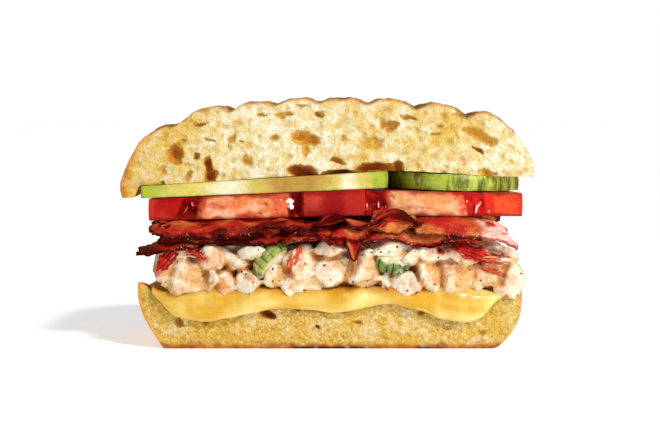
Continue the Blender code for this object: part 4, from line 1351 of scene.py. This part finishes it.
def sunken(bands, glints, floor, roof, seed):
    """How far the cut face is sunk where its seed hollows are, the lumps of gel in them, and its wet facets."""

    def recess(x, w):
        z = mix(floor(x), roof(x), w)
        sunk = np.full_like(x, bands[0][4])
        for low, high, _, _, depth, _ in bands[1:]:
            sunk = mix(sunk, depth, smooth_step(-0.7, 0.7, x - mix(low, high, w)))
        gel = unevenness(x, z, 0, 2.2, seed) + 0.5 * unevenness(x, z, 0, 1.0, seed + 1)
        sunk = sunk * (0.75 + 0.5 * gel) * np.sin(np.pi * mix(0.08, 0.92, w)) ** 0.5
        for middle_x, middle_z, half_x, half_z, turn in glints:
            dx, dz = x - middle_x, z - middle_z
            ragged = 1.0 + 0.45 * dz / half_z + 0.5 * unevenness(x, z, 0, 0.9, seed + 2)
            out = turned_reach(dx, dz, half_x * np.clip(ragged, 0.15, 2.0), half_z, turn)
            sunk = mix(sunk, 0.6 + 0.25 * dx + 0.48 * dz, smooth_step(1.5, 0.9, out))
        return sunk

    return recess


def tomato_looks(bands, seed):
    """Colour and wetness of a slice whose cut shows these bands."""
    def looks(x, y, z, side, share, w):
        drift = x + 0.5 * layered(x, y, z, 2.6, seed)
        colour = np.tile(screen(*bands[0][2]), (len(x), 1))
        gloss = np.full_like(x, bands[0][3])
        streaked = np.full_like(x, bands[0][5])
        for low, high, tone, wetness, _, streaks in bands[1:]:
            soft = 0.3 + 1.4 * streaks
            into = smooth_step(-soft, soft, drift - mix(low, high, w))
            colour = blend(colour, screen(*tone), into)
            gloss, streaked = mix(gloss, wetness, into), mix(streaked, streaks, into)
        pale = smooth_step(0.0, 0.7, layered(x, y, z * 1.4, 4.0, seed + 2) + 0.4 - 1.1 * np.abs(w - 0.42))
        colour = blend(colour, TOMATO_PALE, 0.55 * pale * streaked * (streaked > 0.7))
        veins = smooth_step(0.0, 0.7, layered(x * 0.7, y, z * 1.4, 4.0, seed + 4) + 0.9 * np.abs(w - 0.45) - 0.2)
        colour = blend(colour, TOMATO_VEIN, 0.7 * veins * streaked)
        flushed = smooth_step(-0.1, 0.6, layered(x * 0.9, y, z * 0.5, 4.0, seed + 8))
        colour = blend(colour, TOMATO_FLUSH, 0.55 * flushed * (streaked > 0.45) * (streaked < 0.7))
        edge = smooth_step(0.30, 0.5, np.abs(w - 0.5 + 0.12 * unevenness(x, y, z, 3.0, seed + 6)))
        colour = blend(colour, TOMATO_EDGE, 0.8 * edge)
        skin = np.maximum(share**8, np.abs(side) ** 24)
        colour = blend(colour, TOMATO_SKIN, skin)
        return {"tint": colour, "wet": unit(gloss + 0.4 * skin)}

    return looks


def tomatoes(finish):
    left_levels = slope(-58, 41.4, 11, 43.0), slope(-58, 48.4, 11, 51.5)
    right_levels = slope(12, 43.0, 61, 42.8), slope(12, 51.2, 61, 50.2)
    left, right = tomato_looks(TOMATO_LEFT_BANDS, 900), tomato_looks(TOMATO_RIGHT_BANDS, 920)
    left_cut = sunken(TOMATO_LEFT_BANDS, TOMATO_LEFT_GLINTS, *left_levels, 31)
    right_cut = sunken(TOMATO_RIGHT_BANDS, TOMATO_RIGHT_GLINTS, *right_levels, 33)
    half_disc("tomato_left", finish, -23.4, 34.6, -32.6, 31.0, left_levels, (300, 40, 40), left, left_cut)
    half_disc("tomato_right", finish, 36.6, 24.9, -32.6, 30.0, right_levels, (240, 40, 40), right, right_cut)
    half_disc("tomato_back_left", finish, -27.0, 28.0, 0.2, 27.6, left_levels, (120, 40, 14), left)
    half_disc("tomato_back_right", finish, 30.0, 27.6, 0.0, 27.6, right_levels, (120, 40, 14), right)


def avocado_looks(green_ends, creams, tans, seed, skin_share):
    """green_ends: (from, to) along X where the flesh turns green; creams and tans: tables of bells."""
    (a0, a1), (b0, b1) = green_ends

    def looks(x, y, z, side, share, w):
        drift = x + 1.6 * unevenness(x, y, z * 2, 4.0, seed)
        green = np.maximum(smooth_step(a1, a0, drift), smooth_step(b0, b1, drift))
        rim = np.maximum(share**4, np.abs(side) ** 10)
        green = np.maximum(green, smooth_step(0.35, 0.9, rim))
        cream = unit(bells(drift, creams) + 0.3 * layered(x, y, z, 8.0, seed + 1))
        tan = unit(bells(drift, tans) * (1 + 0.6 * layered(x * 0.4, y, z, 3.0, seed + 2)))
        colour = blend(blend(AVOCADO_YELLOW, AVOCADO_CREAM, cream), AVOCADO_TAN, tan * 0.8)
        edge = smooth_step(0.30, 0.5, np.abs(w - 0.5)) * 0.35
        colour = blend(colour, AVOCADO_GREEN, green + edge * (tan < 0.4))
        skin = smooth_step(0.72, 0.98, rim) * skin_share
        return {"tint": blend(colour, AVOCADO_RIM, skin), "skin": skin}

    return looks


def avocados(finish):
    left_levels = slope(-60.5, 48.6, 18.5, 51.9), slope(-60.5, 52.5, 18.5, 57.3)
    right_levels = slope(18.5, 51.5, 60, 50.5), slope(18.5, 57.0, 60, 55.5)
    creams, tans = ((-32.6, 6.8, 1.0), (6.6, 2.4, 1.0)), ((-16.0, 7.0, 1.0), (-6.0, 5.0, 1.0))
    looks = avocado_looks(((-58.5, -50.0), (12.6, 15.0)), creams, tans, 600, 0.9)
    half_disc("avocado_left", finish, -21.0, 39.4, -32.8, 27.0, left_levels, (260, 40, 20), looks)
    looks = avocado_looks(((18.0, 22.0), (50.0, 60.0)), (), (), 620, 1.0)
    half_disc("avocado_right", finish, 40.5, 22.5, -32.4, 24.0, right_levels, (180, 44, 20), looks, back=True)
    looks = avocado_looks(((-58.0, -48.0), (0.0, 9.0)), ((-24.0, 12.0, 1.0),), (), 640, 1.0)
    half_disc("avocado_back_left", finish, -24.0, 34.0, -3.0, 30.0, left_levels, (120, 36, 10), looks)
    looks = avocado_looks(((18.0, 24.0), (50.0, 58.0)), ((38.0, 8.0, 1.0),), (), 660, 1.0)
    half_disc("avocado_back_right", finish, 38.6, 20.0, -2.6, 28.0, right_levels, (120, 36, 10), looks)


# ---- stage ----


# How bright the surround is as light, and as shiny parts mirror it.
SURROUND = 0.31
SURROUND_IN_GLOSS = 0.07


def stage():
    """A pale floor, a bright surround, soft lamps and the camera."""
    bm = bmesh.new()
    bmesh.ops.create_grid(bm, x_segments=1, y_segments=1, size=12.0)
    mesh = bpy.data.meshes.new("floor")
    bm.to_mesh(mesh)
    bm.free()
    floor = bpy.data.objects.new("floor", mesh)
    bpy.context.scene.collection.objects.link(floor)
    finish = Finish("pale_floor", Roughness=0.7, Specular_IOR_Level=0.1, Emission_Strength=0.47)
    finish.surface(Base_Color=screen(244, 244, 246), Emission_Color=(1.0, 1.0, 1.0))
    mesh.materials.append(finish.material)
    floor.visible_glossy = False

    world = bpy.data.worlds.new("studio")
    bpy.context.scene.world = world
    world.use_nodes = True
    nodes, links = world.node_tree.nodes, world.node_tree.links
    soft, plain = nodes["Background"], nodes.new("ShaderNodeBackground")
    for background, strength in ((soft, SURROUND), (plain, 1.0)):
        background.inputs["Color"].default_value = (1.0, 1.0, 1.0, 1.0)
        background.inputs["Strength"].default_value = strength
    seen, path = nodes.new("ShaderNodeMixShader"), nodes.new("ShaderNodeLightPath")
    dimmer = nodes.new("ShaderNodeMath")
    dimmer.operation = "MULTIPLY_ADD"
    dimmer.inputs[1].default_value, dimmer.inputs[2].default_value = SURROUND_IN_GLOSS - SURROUND, SURROUND
    for output, socket in (
        (path.outputs["Is Glossy Ray"], dimmer.inputs[0]),
        (dimmer.outputs[0], soft.inputs["Strength"]),
        (path.outputs["Is Camera Ray"], seen.inputs[0]),
        (soft.outputs[0], seen.inputs[1]),
        (plain.outputs[0], seen.inputs[2]),
        (seen.outputs[0], nodes["World Output"].inputs["Surface"]),
    ):
        links.new(output, socket)

    def lamp(kind, name, place, target, power, colour=(1.0, 1.0, 1.0), **settings):
        light = bpy.data.lights.new(name, kind)
        light.energy = power
        light.color = colour
        for setting, value in settings.items():
            setattr(light, setting, value)
        made = bpy.data.objects.new(name, light)
        made.location = place
        made.rotation_euler = (Vector(target) - Vector(place)).to_track_quat("-Z", "Y").to_euler()
        made.visible_glossy = kind == "SUN"
        bpy.context.scene.collection.objects.link(made)

    middle = (0.0, -0.02, 0.04)
    lamp("SUN", "key", (0.35, -0.5, 0.62), middle, 1.45, (1.0, 0.98, 0.95), angle=math.radians(7))
    lamp("AREA", "right", (0.3, -0.28, 0.17), middle, 0.55, (1.0, 0.98, 0.95), shape="DISK", size=0.16)
    lamp("AREA", "left", (-0.5, -0.4, 0.25), middle, 0.35, shape="DISK", size=0.3)

    lens = bpy.data.cameras.new("camera")
    lens.lens = 85.2
    lens.sensor_width = 36.0
    lens.clip_start = 0.01
    camera = bpy.data.objects.new("camera", lens)
    camera.location = (0.0, -0.532, 0.077)
    aim = Vector((0.0, -0.032, 0.0416)) - camera.location
    camera.rotation_euler = aim.to_track_quat("-Z", "Y").to_euler()
    bpy.context.scene.collection.objects.link(camera)
    bpy.context.scene.camera = camera
    bpy.context.scene.view_settings.view_transform = "Standard"


def main():
    top_bread(bread_finish("toasted_top", 0.5, 2.2))
    bottom_bread(bread_finish("toasted_base", 1.0, 1.2))
    melted_cheese(cheese_finish())
    lumps = salad(crab_finish("dressed_crab", 0.8))
    red_meat(lumps, crab_finish("crab_leg", 1.0, 0.25, 0.2))
    scattered_flecks(lumps, crab_finish("pepper_flecks", 0.2, 0.0))
    green = celery_finish()
    for name in CELERY:
        celery(name, green)
    cured = bacon_finish()
    for i, (name, spec) in enumerate(BACON_STRIPS.items()):
        bacon_strip(name, cured, spec, 700 + 20 * i)
    tomatoes(tomato_finish())
    avocados(avocado_finish())
    stage()


main()
